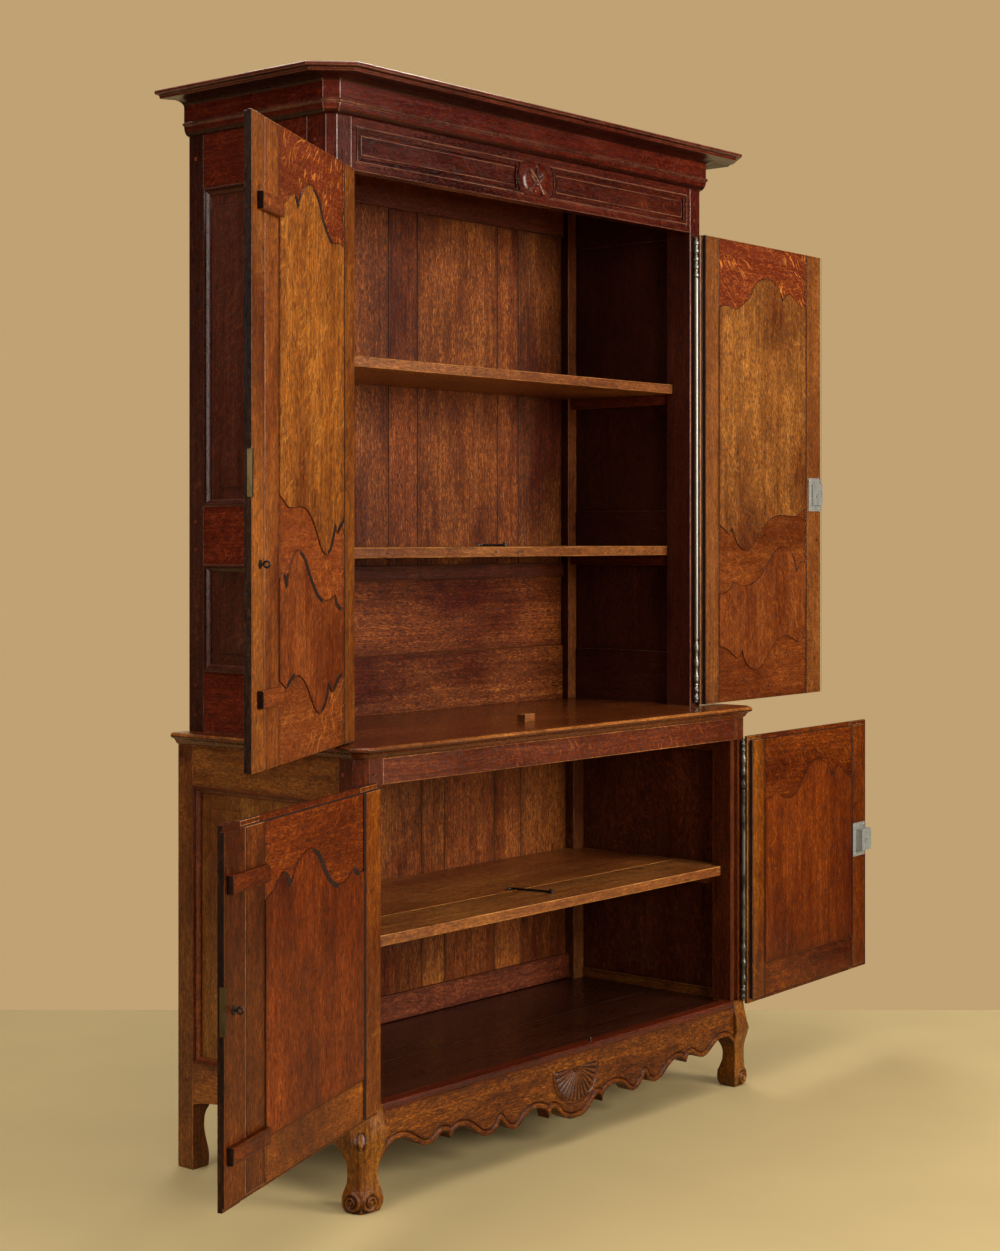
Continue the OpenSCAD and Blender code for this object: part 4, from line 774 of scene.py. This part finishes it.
def apron_line(n=6):
    h = []
    for part in APRON:
        h += spline(part, n)[(1 if h else 0):]
    return [(-x / 1000, z / 1000) for x, z in h[:0:-1]] + [(x / 1000, z / 1000) for x, z in h]


def seg_dist(P, line):
    """Distance of each point to a polyline, both in one plane."""
    best = np.full(len(P), 1e9)
    for a, b in zip(line[:-1], line[1:]):
        a, b = np.array(a), np.array(b)
        ab = b - a
        L = ab @ ab
        if L < 1e-14:
            continue
        t = np.clip(((P - a) @ ab) / L, 0, 1)
        best = np.minimum(best, np.hypot(*(P - (a + t[:, None] * ab)).T))
    return best


FRONT = BY - 0.541
SHELL_R, SHELL_Z = 0.080, 0.170


def apron_piece():
    line = apron_line()
    lx = np.array([p[0] for p in line])
    lz = np.array([p[1] for p in line])
    o = np.argsort(lx, kind="stable")
    xs = np.unique(np.concatenate([np.arange(-0.631, 0.6311, 0.0016), lx]))
    xs = xs[np.concatenate([[True], np.diff(xs) > 2e-5])]
    ez = np.interp(xs, lx[o], lz[o])
    top = 0.1965
    near = [0, .0008, .0018, .0032, .005, .0068, .0084, .0096, .0106, .0116, .0126, .0138, .0152, .018]
    far = list(np.linspace(0, 1, 27)[1:])
    Z = np.array([ez + v for v in near] + [ez + .018 + (top - ez - .018) * f for f in far])
    X = np.broadcast_to(xs, Z.shape)
    P = np.stack([X.ravel(), Z.ravel()], 1)
    d = seg_dist(P, line)
    h = np.zeros(len(P))
    band = d < 0.0100
    h[band] = 0.0016 * np.sqrt(np.clip(1 - ((d[band] - 0.0052) / 0.0054) ** 2, 0, 1)) + 0.0004
    g = np.exp(-((d - 0.0118) / 0.0013) ** 2)
    h -= 0.0024 * g
    # sunk line round the shell
    r = np.hypot(P[:, 0], P[:, 1] - SHELL_Z)
    low = P[:, 1] < SHELL_Z + 0.001
    h -= 0.0026 * np.exp(-((r - SHELL_R - 0.0022) / 0.0018) ** 2) * low
    h -= 0.0022 * np.exp(-((P[:, 1] - SHELL_Z - 0.0022) / 0.0016) ** 2) * (np.abs(P[:, 0]) < SHELL_R + 0.002)
    # the surface is not quite flat: tool marks
    h += np.array([0.0006 * (noise.noise(Vector((x * 9, z * 22, 0.3)))) + 0.00022 * noise.noise(Vector((x * 60, z * 90, 4.1)))
                   for x, z in P])
    Y = FRONT - h
    bm = bmesh.new()
    nr, nc = Z.shape
    V = [[bm.verts.new((P[i * nc + k, 0], Y[i * nc + k], P[i * nc + k, 1])) for k in range(nc)] for i in range(nr)]
    for i in range(nr - 1):
        for k in range(nc - 1):
            bm.faces.new((V[i][k], V[i][k + 1], V[i + 1][k + 1], V[i + 1][k]))
    B = [bm.verts.new((xs[k], FRONT + 0.030, ez[k])) for k in range(nc)]
    T = [bm.verts.new((xs[k], FRONT + 0.030, top)) for k in range(nc)]
    for k in range(nc - 1):
        bm.faces.new((V[0][k + 1], V[0][k], B[k], B[k + 1]))
        bm.faces.new((B[k + 1], B[k], T[k], T[k + 1]))
        bm.faces.new((V[-1][k], V[-1][k + 1], T[k + 1], T[k]))
    # cav: darker in the groove, at the apron's lower edge, on the field beside the border and round the shell: dark wax
    # and painted shade
    cav = np.zeros(len(bm.verts))
    cav[:len(P)] = np.clip(0.85 * g + 0.5 * np.exp(-((d - 0.0010) / 0.0012) ** 2), 0, 1) + \
        0.35 * np.exp(-np.clip(d - 0.012, 0, 1) / 0.006) * (d > 0.012)
    cav[:len(P)] = np.clip(cav[:len(P)] + 0.8 * np.exp(-((r - SHELL_R - 0.0022) / 0.0026) ** 2) * low, 0, 1)
    stamp(bm, Matrix.Identity(4), 811, 0)
    ob = finish_mesh(bm, "v_apron", M["apron"], "cupboard", weighted=False, cav=cav)
    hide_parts("base_apron")
    # red-brown strip along the sill, rounded on its upper arris
    bm = bmesh.new()
    prof = [(0.030, 0.1965), (0.0012, 0.1965), (0.0003, 0.1988), (0.0, 0.2010), (0.0, 0.2060), (0.0003, 0.2088),
            (0.0012, 0.2106), (0.0032, 0.2117), (0.0060, 0.2120), (0.030, 0.2120)]
    nx = 260
    rows = []
    for k in range(nx + 1):
        x = -0.631 + 1.262 * k / nx
        w = 0.0003 * noise.noise(Vector((x * 7, 0.2, 8.3)))
        rows.append([bm.verts.new((x, FRONT + y + (w if y < 0.02 else 0), z)) for y, z in prof])
    for a, b in zip(rows[:-1], rows[1:]):
        for q in range(len(prof)):
            p = (q + 1) % len(prof)
            bm.faces.new((a[q], b[q], b[p], a[p]))
    bm.faces.new(rows[0][::-1])
    bm.faces.new(rows[-1])
    stamp(bm, Matrix.Identity(4), 812, 0)
    finish_mesh(bm, "v_sill_strip", M["sill"], "cupboard")


def shell_piece():
    """Fan of sixteen narrow ribs under a small boss."""
    bm = bmesh.new()
    ribs, per, nr = 16, 12, 16
    dark = []
    nt = ribs * per
    r0, r1 = 0.0125, SHELL_R - 0.001
    base = FRONT - 0.0012
    grid = []
    for i in range(nr + 1):
        f = i / nr
        row = []
        for k in range(nt + 1):
            t = math.pi * k / nt
            u = (k % per) / per
            lobe = abs(math.sin(math.pi * u)) ** 0.7
            r = r0 + (r1 - 0.0022 * (1 - lobe) - r0) * f
            h = 0.0030 * (lobe - 0.35) * min(1, 0.25 + f) + 0.0022 * math.sin(math.pi * min(1, f * 1.05)) ** 0.6
            if i == nr:
                h = -0.0035
            row.append(bm.verts.new((r * math.cos(t), base - h, SHELL_Z - r * math.sin(t))))
            # darker between the ribs: dark wax and painted shade
            dark.append(min(1.0, (1 - lobe) * 1.5 * min(1, 0.3 + f)))
        grid.append(row)
    for a, b in zip(grid[:-1], grid[1:]):
        for k in range(nt):
            bm.faces.new((a[k], a[k + 1], b[k + 1], b[k]))
    # boss, with a plain collar
    prof = [(0.0125, -0.001), (0.0118, 0.0022), (0.0100, 0.0032), (0.0086, 0.0026), (0.0078, 0.0030), (0.0070, 0.0048),
            (0.0054, 0.0062), (0.0030, 0.0070), (0.0, 0.0072)]
    rings = []
    for r, h in prof:
        rings.append([bm.verts.new((r * math.cos(math.pi * k / 24), base - h, SHELL_Z - r * math.sin(math.pi * k / 24)))
                      for k in range(25)])
    for a, b in zip(rings[:-1], rings[1:]):
        for k in range(24):
            bm.faces.new((a[k], a[k + 1], b[k + 1], b[k]))
    bm.verts.index_update()
    lay = bm.verts.layers.float.new("cav")
    for k, v in enumerate(bm.verts):
        v[lay] = dark[k] if k < len(dark) else 0.25
    bmesh.ops.remove_doubles(bm, verts=bm.verts, dist=1e-6)
    # top edge runs back into the apron
    es = [e for e in bm.edges if len(e.link_faces) == 1 and all(abs(v.co.z - SHELL_Z) < 1e-5 for v in e.verts)]
    g = bmesh.ops.extrude_edge_only(bm, edges=es)["geom"]
    for v in g:
        if isinstance(v, bmesh.types.BMVert):
            v.co.y = FRONT + 0.004
    bmesh.ops.recalc_face_normals(bm, faces=bm.faces)
    stamp(bm, Matrix.Identity(4), 813, 0)
    ob = finish_mesh(bm, "v_shell", M["shell"], "cupboard", angle=60, weighted=False)
    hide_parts("base_shell_carving")


def spiral_height(u, w, r0, eye):
    """Relief of a volute: u points away from the arris, w up; centre at 0."""
    r = math.hypot(u, w)
    if r > r0 * 1.35:
        return 0.0
    if r < eye:
        return 0.0027 * math.cos(r / eye * 1.3)
    th = math.atan2(w, -u) - math.radians(70)          # the scroll springs from the arris side
    k = 0.115
    s = math.log(r0 / r) / k / (2 * math.pi) + th / (2 * math.pi)
    s = (s + 0.5) % 1.0 - 0.5
    h = 0.0027 * math.cos(2 * math.pi * s) + 0.0004
    if r > r0:
        h *= max(0.0, 1 - (r - r0) / (0.35 * r0))
        h -= 0.0006 * math.exp(-((r - r0 * 1.12) / (0.1 * r0)) ** 2)
    return h


def leg_piece(side):
    """One cabriole leg with a scroll carved on both faces of its foot."""
    src = frame["nodes"]["base_front_posts"]
    bm = bmesh.new()
    bm.from_mesh(src.data)
    bmesh.ops.remove_doubles(bm, verts=bm.verts, dist=2e-5)
    bmesh.ops.delete(bm, geom=[v for v in bm.verts if v.co.x * side < 0], context="VERTS")
    bmesh.ops.bisect_plane(bm, geom=bm.verts[:] + bm.edges[:] + bm.faces[:], plane_co=(0, 0, 0.2122),
                           plane_no=(0, 0, 1), clear_outer=True)
    bmesh.ops.holes_fill(bm, edges=[e for e in bm.edges if len(e.link_faces) == 1], sides=0)
    bmesh.ops.triangulate(bm, faces=bm.faces)
    me = bpy.data.meshes.new("leg_tmp")
    bm.to_mesh(me)
    bm.free()
    tmp = bpy.data.objects.new("leg_tmp", me)
    bpy.context.scene.collection.objects.link(tmp)
    rm = tmp.modifiers.new("r", "REMESH")
    rm.mode = "VOXEL"
    rm.voxel_size = 0.0016
    sm = tmp.modifiers.new("s", "SMOOTH")
    sm.factor = 0.5
    sm.iterations = 2
    ev = tmp.evaluated_get(bpy.context.evaluated_depsgraph_get())
    done = bpy.data.meshes.new_from_object(ev)
    bpy.data.objects.remove(tmp)
    bm = bmesh.new()
    bm.from_mesh(done)
    bm.normal_update()
    ax, ay = side * 0.6845, BY - 0.5295                # middle of the cant, where the arris runs
    cen_f = (side * 0.6685, 0.0215)                    # volute on the front face: x, z
    cen_s = (BY - 0.5150, 0.0215)                      # volute on the side face: y, z
    cav = []
    for v in bm.verts:
        c, n = v.co.copy(), v.normal.copy()
        h = 0.0
        if c.z < 0.056:
            fr = max(0.0, -n.y)
            sd = max(0.0, n.x * side)
            # distance across the diagonal decides which face a point belongs to
            if fr > 0.35 and fr >= sd:
                h += spiral_height((cen_f[0] - c.x) * side, c.z - cen_f[1], 0.0195, 0.0042) * min(1, fr * 1.3)
            elif sd > 0.35:
                h += spiral_height(c.y - cen_s[0], c.z - cen_s[1], 0.0190, 0.0040) * min(1, sd * 1.3)
        # crisp arris down the middle
        if 0.045 < c.z < 0.142 and n.x * side > 0.25 and n.y < -0.25:
            along = ((c.x - ax) * side + (c.y - ay)) / math.sqrt(2)
            h += 0.0012 * math.exp(-(along / 0.0028) ** 2) * min(1, (c.z - 0.045) / 0.01) * min(1, (0.142 - c.z) / 0.01)
            h -= 0.0007 * math.exp(-((abs(along) - 0.0065) / 0.0025) ** 2)
        # a small carved drop where the cant ends
        if 0.128 < c.z < 0.165 and n.x * side > 0.2 and n.y < -0.2:
            along = ((c.x - ax) * side + (c.y - ay)) / math.sqrt(2)
            q = math.hypot(along / 0.0055, (c.z - 0.147) / 0.0110)
            h += 0.0022 * math.exp(-q * q) - 0.0018 * math.exp(-((q - 1.6) / 0.45) ** 2)
        # darker where the carving sinks: dark wax and painted shade
        cav.append(min(1.0, max(0.0, -h / 0.0019)) * 0.95)
        h += 0.00025 * noise.noise(c * 130) + 0.0004 * noise.noise(c * 35)
        v.co = c + n * h
        v.co.z = max(v.co.z, 0.0)
    stamp(bm, Matrix.Identity(4), 820 + side, 2)
    finish_mesh(bm, "v_leg_" + ("l" if side < 0 else "r"), M["leg"], "cupboard", angle=75, weighted=False, cav=cav)


def tube(bm, pts, rad, seg=8):
    """Round bar along points; rad may change along it."""
    n = len(pts)
    rings = []
    up = Vector((0.13, 0.91, 0.37)).normalized()
    for i, p in enumerate(pts):
        a = Vector(pts[max(i - 1, 0)])
        b = Vector(pts[min(i + 1, n - 1)])
        t = (b - a).normalized()
        s = t.cross(up).normalized()
        q = s.cross(t)
        r = rad[i] if isinstance(rad, (list, tuple)) else rad
        rings.append([bm.verts.new(Vector(p) + r * (math.cos(2 * math.pi * k / seg) * s + math.sin(2 * math.pi * k / seg) * q))
                      for k in range(seg)])
    for a, b in zip(rings[:-1], rings[1:]):
        for k in range(seg):
            bm.faces.new((a[k], a[(k + 1) % seg], b[(k + 1) % seg], b[k]))
    bm.faces.new(rings[0][::-1])
    bm.faces.new(rings[-1])


def leaf(bm, x, z, ang, L, W, H, y0, bend=0.0):
    """Carved leaf with a raised midrib, lying on a front face; grows from (x, z) at an angle."""
    nu, nv = 12, 8
    g = []
    for i in range(nu + 1):
        u = i / nu
        w = W * math.sin(math.pi * min(1, u * 0.97 + 0.03)) ** 0.85 * (1 - 0.25 * u)
        w *= 1 + 0.16 * math.sin(u * 22)
        a = ang + bend * u
        cx, cz = x + L * u * math.cos(a), z + L * u * math.sin(a)
        row = []
        for k in range(nv + 1):
            v = 2 * k / nv - 1
            h = H * (1 - v * v) ** 0.5 * math.sin(math.pi * (0.12 + 0.86 * u)) ** 0.6 + (0.0007 if k == nv // 2 else 0.0)
            h -= 0.0005 * (abs(abs(v) - 0.45) < 0.13)
            row.append(bm.verts.new((cx - v * w * math.sin(a), y0 - h, cz + v * w * math.cos(a))))
        g.append(row)
    for a, b in zip(g[:-1], g[1:]):
        for k in range(nv):
            bm.faces.new((a[k], a[k + 1], b[k + 1], b[k]))


MED = (2.1595, 0.055, 0.045)


def medallion_piece():
    fz, rx, rz = MED
    yf = BY - 0.428
    bm = bmesh.new()
    prof = [(0.90, -0.001), (0.88, 0.0002), (0.60, 0.0006), (0.25, 0.0010), (0.02, 0.0011)]
    n = 96
    rings = [[bm.verts.new((f * rx * math.cos(2 * math.pi * k / n), yf - h, fz + f * rz * math.sin(2 * math.pi * k / n)))
              for k in range(n)] for f, h in prof]
    for a, b in zip(rings[:-1], rings[1:]):
        for k in range(n):
            bm.faces.new((a[k], a[(k + 1) % n], b[(k + 1) % n], b[k]))
    bm.faces.new(rings[-1])
    y0 = yf - 0.0008
    # two crossed stems, leaves in pairs and a bud over them
    for s in (-1, 1):
        pts = [(s * (-0.024 + 0.046 * u), y0 - 0.0009, fz - 0.030 + 0.050 * u + 0.006 * math.sin(2.4 * u)) for u in [k / 14 for k in range(15)]]
        tube(bm, pts, [0.0028 - 0.0012 * k / 14 for k in range(15)], 8)
        leaf(bm, s * 0.002, fz - 0.006, math.radians(90 - s * 66), 0.034, 0.0056, 0.0056, y0, s * 0.25)
        leaf(bm, s * 0.010, fz + 0.004, math.radians(90 - s * 34), 0.030, 0.0052, 0.0056, y0, -s * 0.2)
        leaf(bm, -s * 0.012, fz - 0.018, math.radians(90 + s * 104), 0.026, 0.0046, 0.0050, y0, s * 0.2)
        leaf(bm, s * 0.0015, fz + 0.002, math.radians(90 - s * 9), 0.034, 0.0040, 0.0058, y0, s * 0.3)
    for x, z, r in ((0, -0.010, 0.0048), (-0.0095, 0.0085, 0.0034), (0.0095, 0.0085, 0.0034), (0, 0.029, 0.0036), (-0.006, -0.026, 0.0030), (0.013, -0.020, 0.0028)):
        st = [[bm.verts.new((x + r * math.cos(t) * math.sin(p), y0 - 0.001 - r * math.cos(p) * 0.9, fz + z + r * math.sin(t) * math.sin(p)))
               for t in [2 * math.pi * k / 12 for k in range(12)]] for p in (0.15, 0.5, 0.9, 1.3, 1.57)]
        for a, b in zip(st[:-1], st[1:]):
            for k in range(12):
                bm.faces.new((a[k], a[(k + 1) % 12], b[(k + 1) % 12], b[k]))
        bm.faces.new(st[0])
    bmesh.ops.recalc_face_normals(bm, faces=bm.faces)
    stamp(bm, Matrix.Identity(4), 830, 0)
    ob = finish_mesh(bm, "v_medallion", M["out"], "cupboard", angle=55, weighted=False)
    # raised leaves, stems and buds take the lighter arris wood: painted highlight
    face_mat(ob, "arris_red_wear_highlight", lambda n, c: c.y < yf - 0.0030)
    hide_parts("frieze_medallion")


def bead_frames():
    """Moulded edge round each side panel: ogee and fillet, mitred at the corners."""
    prof = [(-0.0005, 0.0000), (0.0000, 0.0016), (0.0020, 0.0026), (0.0044, 0.0020), (0.0058, -0.0010), (0.0064, -0.0040),
            (0.0086, -0.0052), (0.0112, -0.0066), (0.0140, -0.0095), (0.0150, -0.0130)]
    frames = []
    for s in (-1, 1):
        for z0, z1 in ((1.064, 1.291), (1.418, 2.098)):
            frames.append((s, 0.664, BY - 0.358, BY - 0.045, z0, z1, 0.85))
        frames.append((s, 0.696, BY - 0.479, BY - 0.047, 0.228, 0.820, 1.0))
    for f, (s, hw, y0, y1, z0, z1, k) in enumerate(frames):
        bm = bmesh.new()
        rings = []
        for a, h in prof:
            x = s * (hw + h * k)
            q = [(y0 + a, z0 + a), (y1 - a, z0 + a), (y1 - a, z1 - a), (y0 + a, z1 - a)]
            rings.append([bm.verts.new((x, y, z)) for y, z in q])
        for a, b in zip(rings[:-1], rings[1:]):
            for c in range(4):
                bm.faces.new((a[c], a[(c + 1) % 4], b[(c + 1) % 4], b[c]))
        bmesh.ops.recalc_face_normals(bm, faces=bm.faces)
        if sum(fc.normal.x * fc.calc_area() for fc in bm.faces) * s < 0:
            bmesh.ops.reverse_faces(bm, faces=bm.faces)
        cz, cy = (z0 + z1) / 2, (y0 + y1) / 2
        stamp(bm, Matrix.Identity(4), 840 + f,
              split=lambda c, cy=cy, cz=cz, z0=z0, z1=z1, y0=y0, y1=y1:
              (("v", 2) if min(c.y - y0, y1 - c.y) < min(c.z - z0, z1 - c.z) else ("h", 1)))
        finish_mesh(bm, "v_panel_mould_%d" % f, M["base" if z1 < 0.9 else "side"], "cupboard", angle=28, weighted=False)


def lathe(name, prof, loc, axis, mat, body, seg=24):
    """Turned piece: profile of (radius, height) spun round an axis at loc."""
    bm = bmesh.new()
    q = Vector((0, 0, 1)).rotation_difference(Vector(axis)).to_matrix().to_4x4()
    m = Matrix.Translation(loc) @ q
    rings = [[bm.verts.new(m @ Vector((max(r, 1e-5) * math.cos(2 * math.pi * k / seg), max(r, 1e-5) * math.sin(2 * math.pi * k / seg), h)))
              for k in range(seg)] for r, h in prof]
    for a, b in zip(rings[:-1], rings[1:]):
        for k in range(seg):
            bm.faces.new((a[k], a[(k + 1) % seg], b[(k + 1) % seg], b[k]))
    bm.faces.new(rings[-1])
    bm.faces.new(rings[0][::-1])
    return finish_mesh(bm, name, M[mat], body, weighted=False)




def painted_shade_dark(name, door, s, z, L, W, ang):
    """Dark lens-shaped mark on a door's inner face: painted shade of a carved cut, laid just over the face, not sunk.
    """
    bm = bmesh.new()
    n = 16
    rows = []
    for i in range(n + 1):
        u = i / n
        w = W * math.sin(math.pi * u) ** 0.7 + 1e-5
        row = []
        for v in (-1, -0.5, 0, 0.5, 1):
            a = (u - 0.5) * L
            x = s + a * math.cos(ang) - v * w * math.sin(ang)
            h = z + a * math.sin(ang) + v * w * math.cos(ang)
            row.append(bm.verts.new(on_door(door, x, DIN + 0.0003 + 0.0002 * (1 - v * v), h)))
        rows.append(row)
    for a, b in zip(rows[:-1], rows[1:]):
        for k in range(4):
            bm.faces.new((a[k], a[k + 1], b[k + 1], b[k]))
    stamp(bm, door_frame(door).inverted(), 860, 2)
    finish_mesh(bm, name, M["painted_shade_dark"], door, weighted=False)


apron_piece()
shell_piece()
leg_piece(-1)
leg_piece(1)
medallion_piece()
bead_frames()

# cuts beside the shaped rails of the left doors, drawn as dark lenses of painted shade
painted_shade_dark("v_cut_ul_a", "upper_left_door", 0.380, 1.977, 0.042, 0.0075, R(100))
painted_shade_dark("v_cut_ul_b", "upper_left_door", 0.455, 1.270, 0.032, 0.0085, R(80))
painted_shade_dark("v_cut_ll_a", "lower_left_door", 0.415, 0.716, 0.030, 0.0060, R(95))

# strip in the joint between the two lying back boards
bm = bmesh.new()
rows = []
for k in range(81):
    x = -0.606 + 1.212 * k / 80
    w = 0.0002 * noise.noise(Vector((x * 9, 1.7, 4.1)))
    rows.append([bm.verts.new((x, BY - y + w, z)) for y, z in
                 ((0.0200, 1.0712), (0.0204, 1.0716), (0.0204, 1.0724), (0.0200, 1.0728), (0.0100, 1.0728), (0.0100, 1.0712))])
for a, b in zip(rows[:-1], rows[1:]):
    for q in range(6):
        bm.faces.new((a[q], b[q], b[(q + 1) % 6], a[(q + 1) % 6]))
bm.faces.new(rows[0][::-1])
bm.faces.new(rows[-1])
bmesh.ops.recalc_face_normals(bm, faces=bm.faces[:])
stamp(bm, Matrix.Identity(4), 815, 0)
finish_mesh(bm, "v_back_spline", M["inside_dark"], "cupboard")

# small ironwork
PIN_Y = 0.0165                                         # just behind the closed doors
lathe("v_sill_pin", [(0.0032, -0.004), (0.0032, 0.0060), (0.0030, 0.0072), (0.0020, 0.0084), (0.0, 0.0088)],
      (0.074, FRONT + PIN_Y, 0.212), (0, 0, 1), "iron", "cupboard")
nail = [(0.0034, -0.0010), (0.0034, 0.0002), (0.0028, 0.0008), (0.0015, 0.0012), (0.0, 0.0013)]
for i, (x, z) in enumerate([(-0.058, 1.318), (0.020, 1.316), (-0.42, 1.318), (0.41, 1.317)]):
    lathe("v_shelf_nail_%d" % i, nail, (x, BY - 0.3572, z), (0, -1, 0), "iron", "cupboard", 14)
rivet = [(0.0032, -0.0006), (0.0032, 0.0004), (0.0026, 0.0012), (0.0014, 0.0017), (0.0, 0.0018)]
for door, s1, zs, pw in (("upper_right_door", 0.585, 1.420, 0.064), ("lower_right_door", 0.605, 0.503, 0.066)):
    for i, (a, b) in enumerate(((0.006, 0.007), (0.006, 0.081), (pw - 0.006, 0.007), (pw - 0.006, 0.081))):
        lathe("v_rivet_%s_%d" % (door[:7], i), rivet, on_door(door, s1 - a, DIN + 0.0016, zs + b), door_dir(door, (0, 1, 0)),
              "lock", door, 14)

# ------------------------------------------------------------------ stage
def plain(name, col, rough):
    t = Tree(name)
    co = t.objco()
    n = t.noise(t.vmath("MULTIPLY", co, (3.0, 3.0, 3.0)), 1.0, 3.0, 0.5)
    f = t.remap(n, 0.3, 0.7, 0.97, 1.03)
    t.link(t.mix(1.0, t.comb(f, f, f), col, "MULTIPLY"), t.bsdf.inputs["Base Color"])
    t.bsdf.inputs["Roughness"].default_value = rough
    return t.mat


def stage():
    bm = bmesh.new()
    # ends 6.2 m from the camera, where the backdrop starts
    at, fw, sd = Vector((-3.8295, -3.5118 + BY, 0)), Vector((0.7615, 0.6481, 0)), Vector((0.6481, -0.7615, 0))
    vs = [bm.verts.new(at + fw * a + sd * b) for a, b in ((-24, -24), (-24, 24), (6.2, 24), (6.2, -24))]
    bm.faces.new(vs)
    me = bpy.data.meshes.new("studio_floor")
    bm.to_mesh(me)
    bm.free()
    me.materials.append(plain("studio_pale", (0.355, 0.268, 0.118), 0.9))
    ob = bpy.data.objects.new("studio_floor", me)
    bpy.context.scene.collection.objects.link(ob)


stage()

world = bpy.data.worlds.new("studio")
bpy.context.scene.world = world
world.use_nodes = True
wt = world.node_tree
bg = wt.nodes["Background"]
# a pale backdrop on the far side of the studio, a dimmer room on the near side
wc = wt.nodes.new("ShaderNodeTexCoord")
wd = wt.nodes.new("ShaderNodeVectorMath")
wd.operation = "DOT_PRODUCT"
wd.inputs[1].default_value = (0.76, 0.65, 0.0)
wt.links.new(wc.outputs["Generated"], wd.inputs[0])
wm = wt.nodes.new("ShaderNodeMapRange")
wm.interpolation_type = "SMOOTHSTEP"
for k, v in enumerate((0.62, 0.90, 0.0, 1.0)):
    wm.inputs[1 + k].default_value = v
wt.links.new(wd.outputs["Value"], wm.inputs[0])
wx = wt.nodes.new("ShaderNodeMix")
wx.data_type = "RGBA"
wx.inputs[6].default_value = (0.034, 0.025, 0.015, 1)
wx.inputs[7].default_value = (0.53, 0.36, 0.175, 1)
wt.links.new(wm.outputs[0], wx.inputs[0])
wt.links.new(wx.outputs[2], bg.inputs[0])
bg.inputs[1].default_value = 1.0


def area(name, loc, target, size, power, color=(1, 1, 1)):
    li = bpy.data.lights.new(name, "AREA")
    li.shape = "RECTANGLE"
    li.size, li.size_y = size
    li.energy = power
    li.color = color
    ob = bpy.data.objects.new(name, li)
    bpy.context.scene.collection.objects.link(ob)
    ob.location = loc
    ob.rotation_euler = (Vector(target) - Vector(loc)).to_track_quat("-Z", "Y").to_euler()
    return ob


area("key", (1.25, -4.7, 2.2), (0.0, 0.2, 1.2), (1.9, 2.2), 290, (1.0, 0.94, 0.85))
area("fill", (-2.1, -5.4, 2.5), (-0.2, 0.1, 1.1), (1.5, 2.2), 130, (1.0, 0.96, 0.90))
area("side", (-4.8, -0.2, 2.3), (-0.7, 0.1, 1.1), (1.6, 2.4), 85, (1.0, 0.96, 0.90))
area("top", (-1.0, -0.4, 5.4), (-0.6, 0.0, 0.4), (7.0, 5.5), 430, (1.0, 0.96, 0.90))
area("back", (3.0, 3.3, 4.8), (0.3, 0.3, 1.2), (2.4, 1.6), 150, (1.0, 0.96, 0.90))
bpy.context.scene.view_settings.view_transform = "Standard"

# ------------------------------------------------------------------ camera
cam_data = bpy.data.cameras.new("cam")
cam = bpy.data.objects.new("cam", cam_data)
bpy.context.scene.collection.objects.link(cam)
cam.location = (-3.8295, -3.5118 + BY, 1.3513)
cam.rotation_euler = (R(90), 0, R(-49.606))
cam_data.sensor_width = 36.0
cam_data.lens = 2170.1 * 36.0 / 1251.0
cam_data.shift_x = 22.3 / 1251.0
cam_data.shift_y = -88.5 / 1251.0
cam_data.clip_end = 100
bpy.context.scene.camera = cam
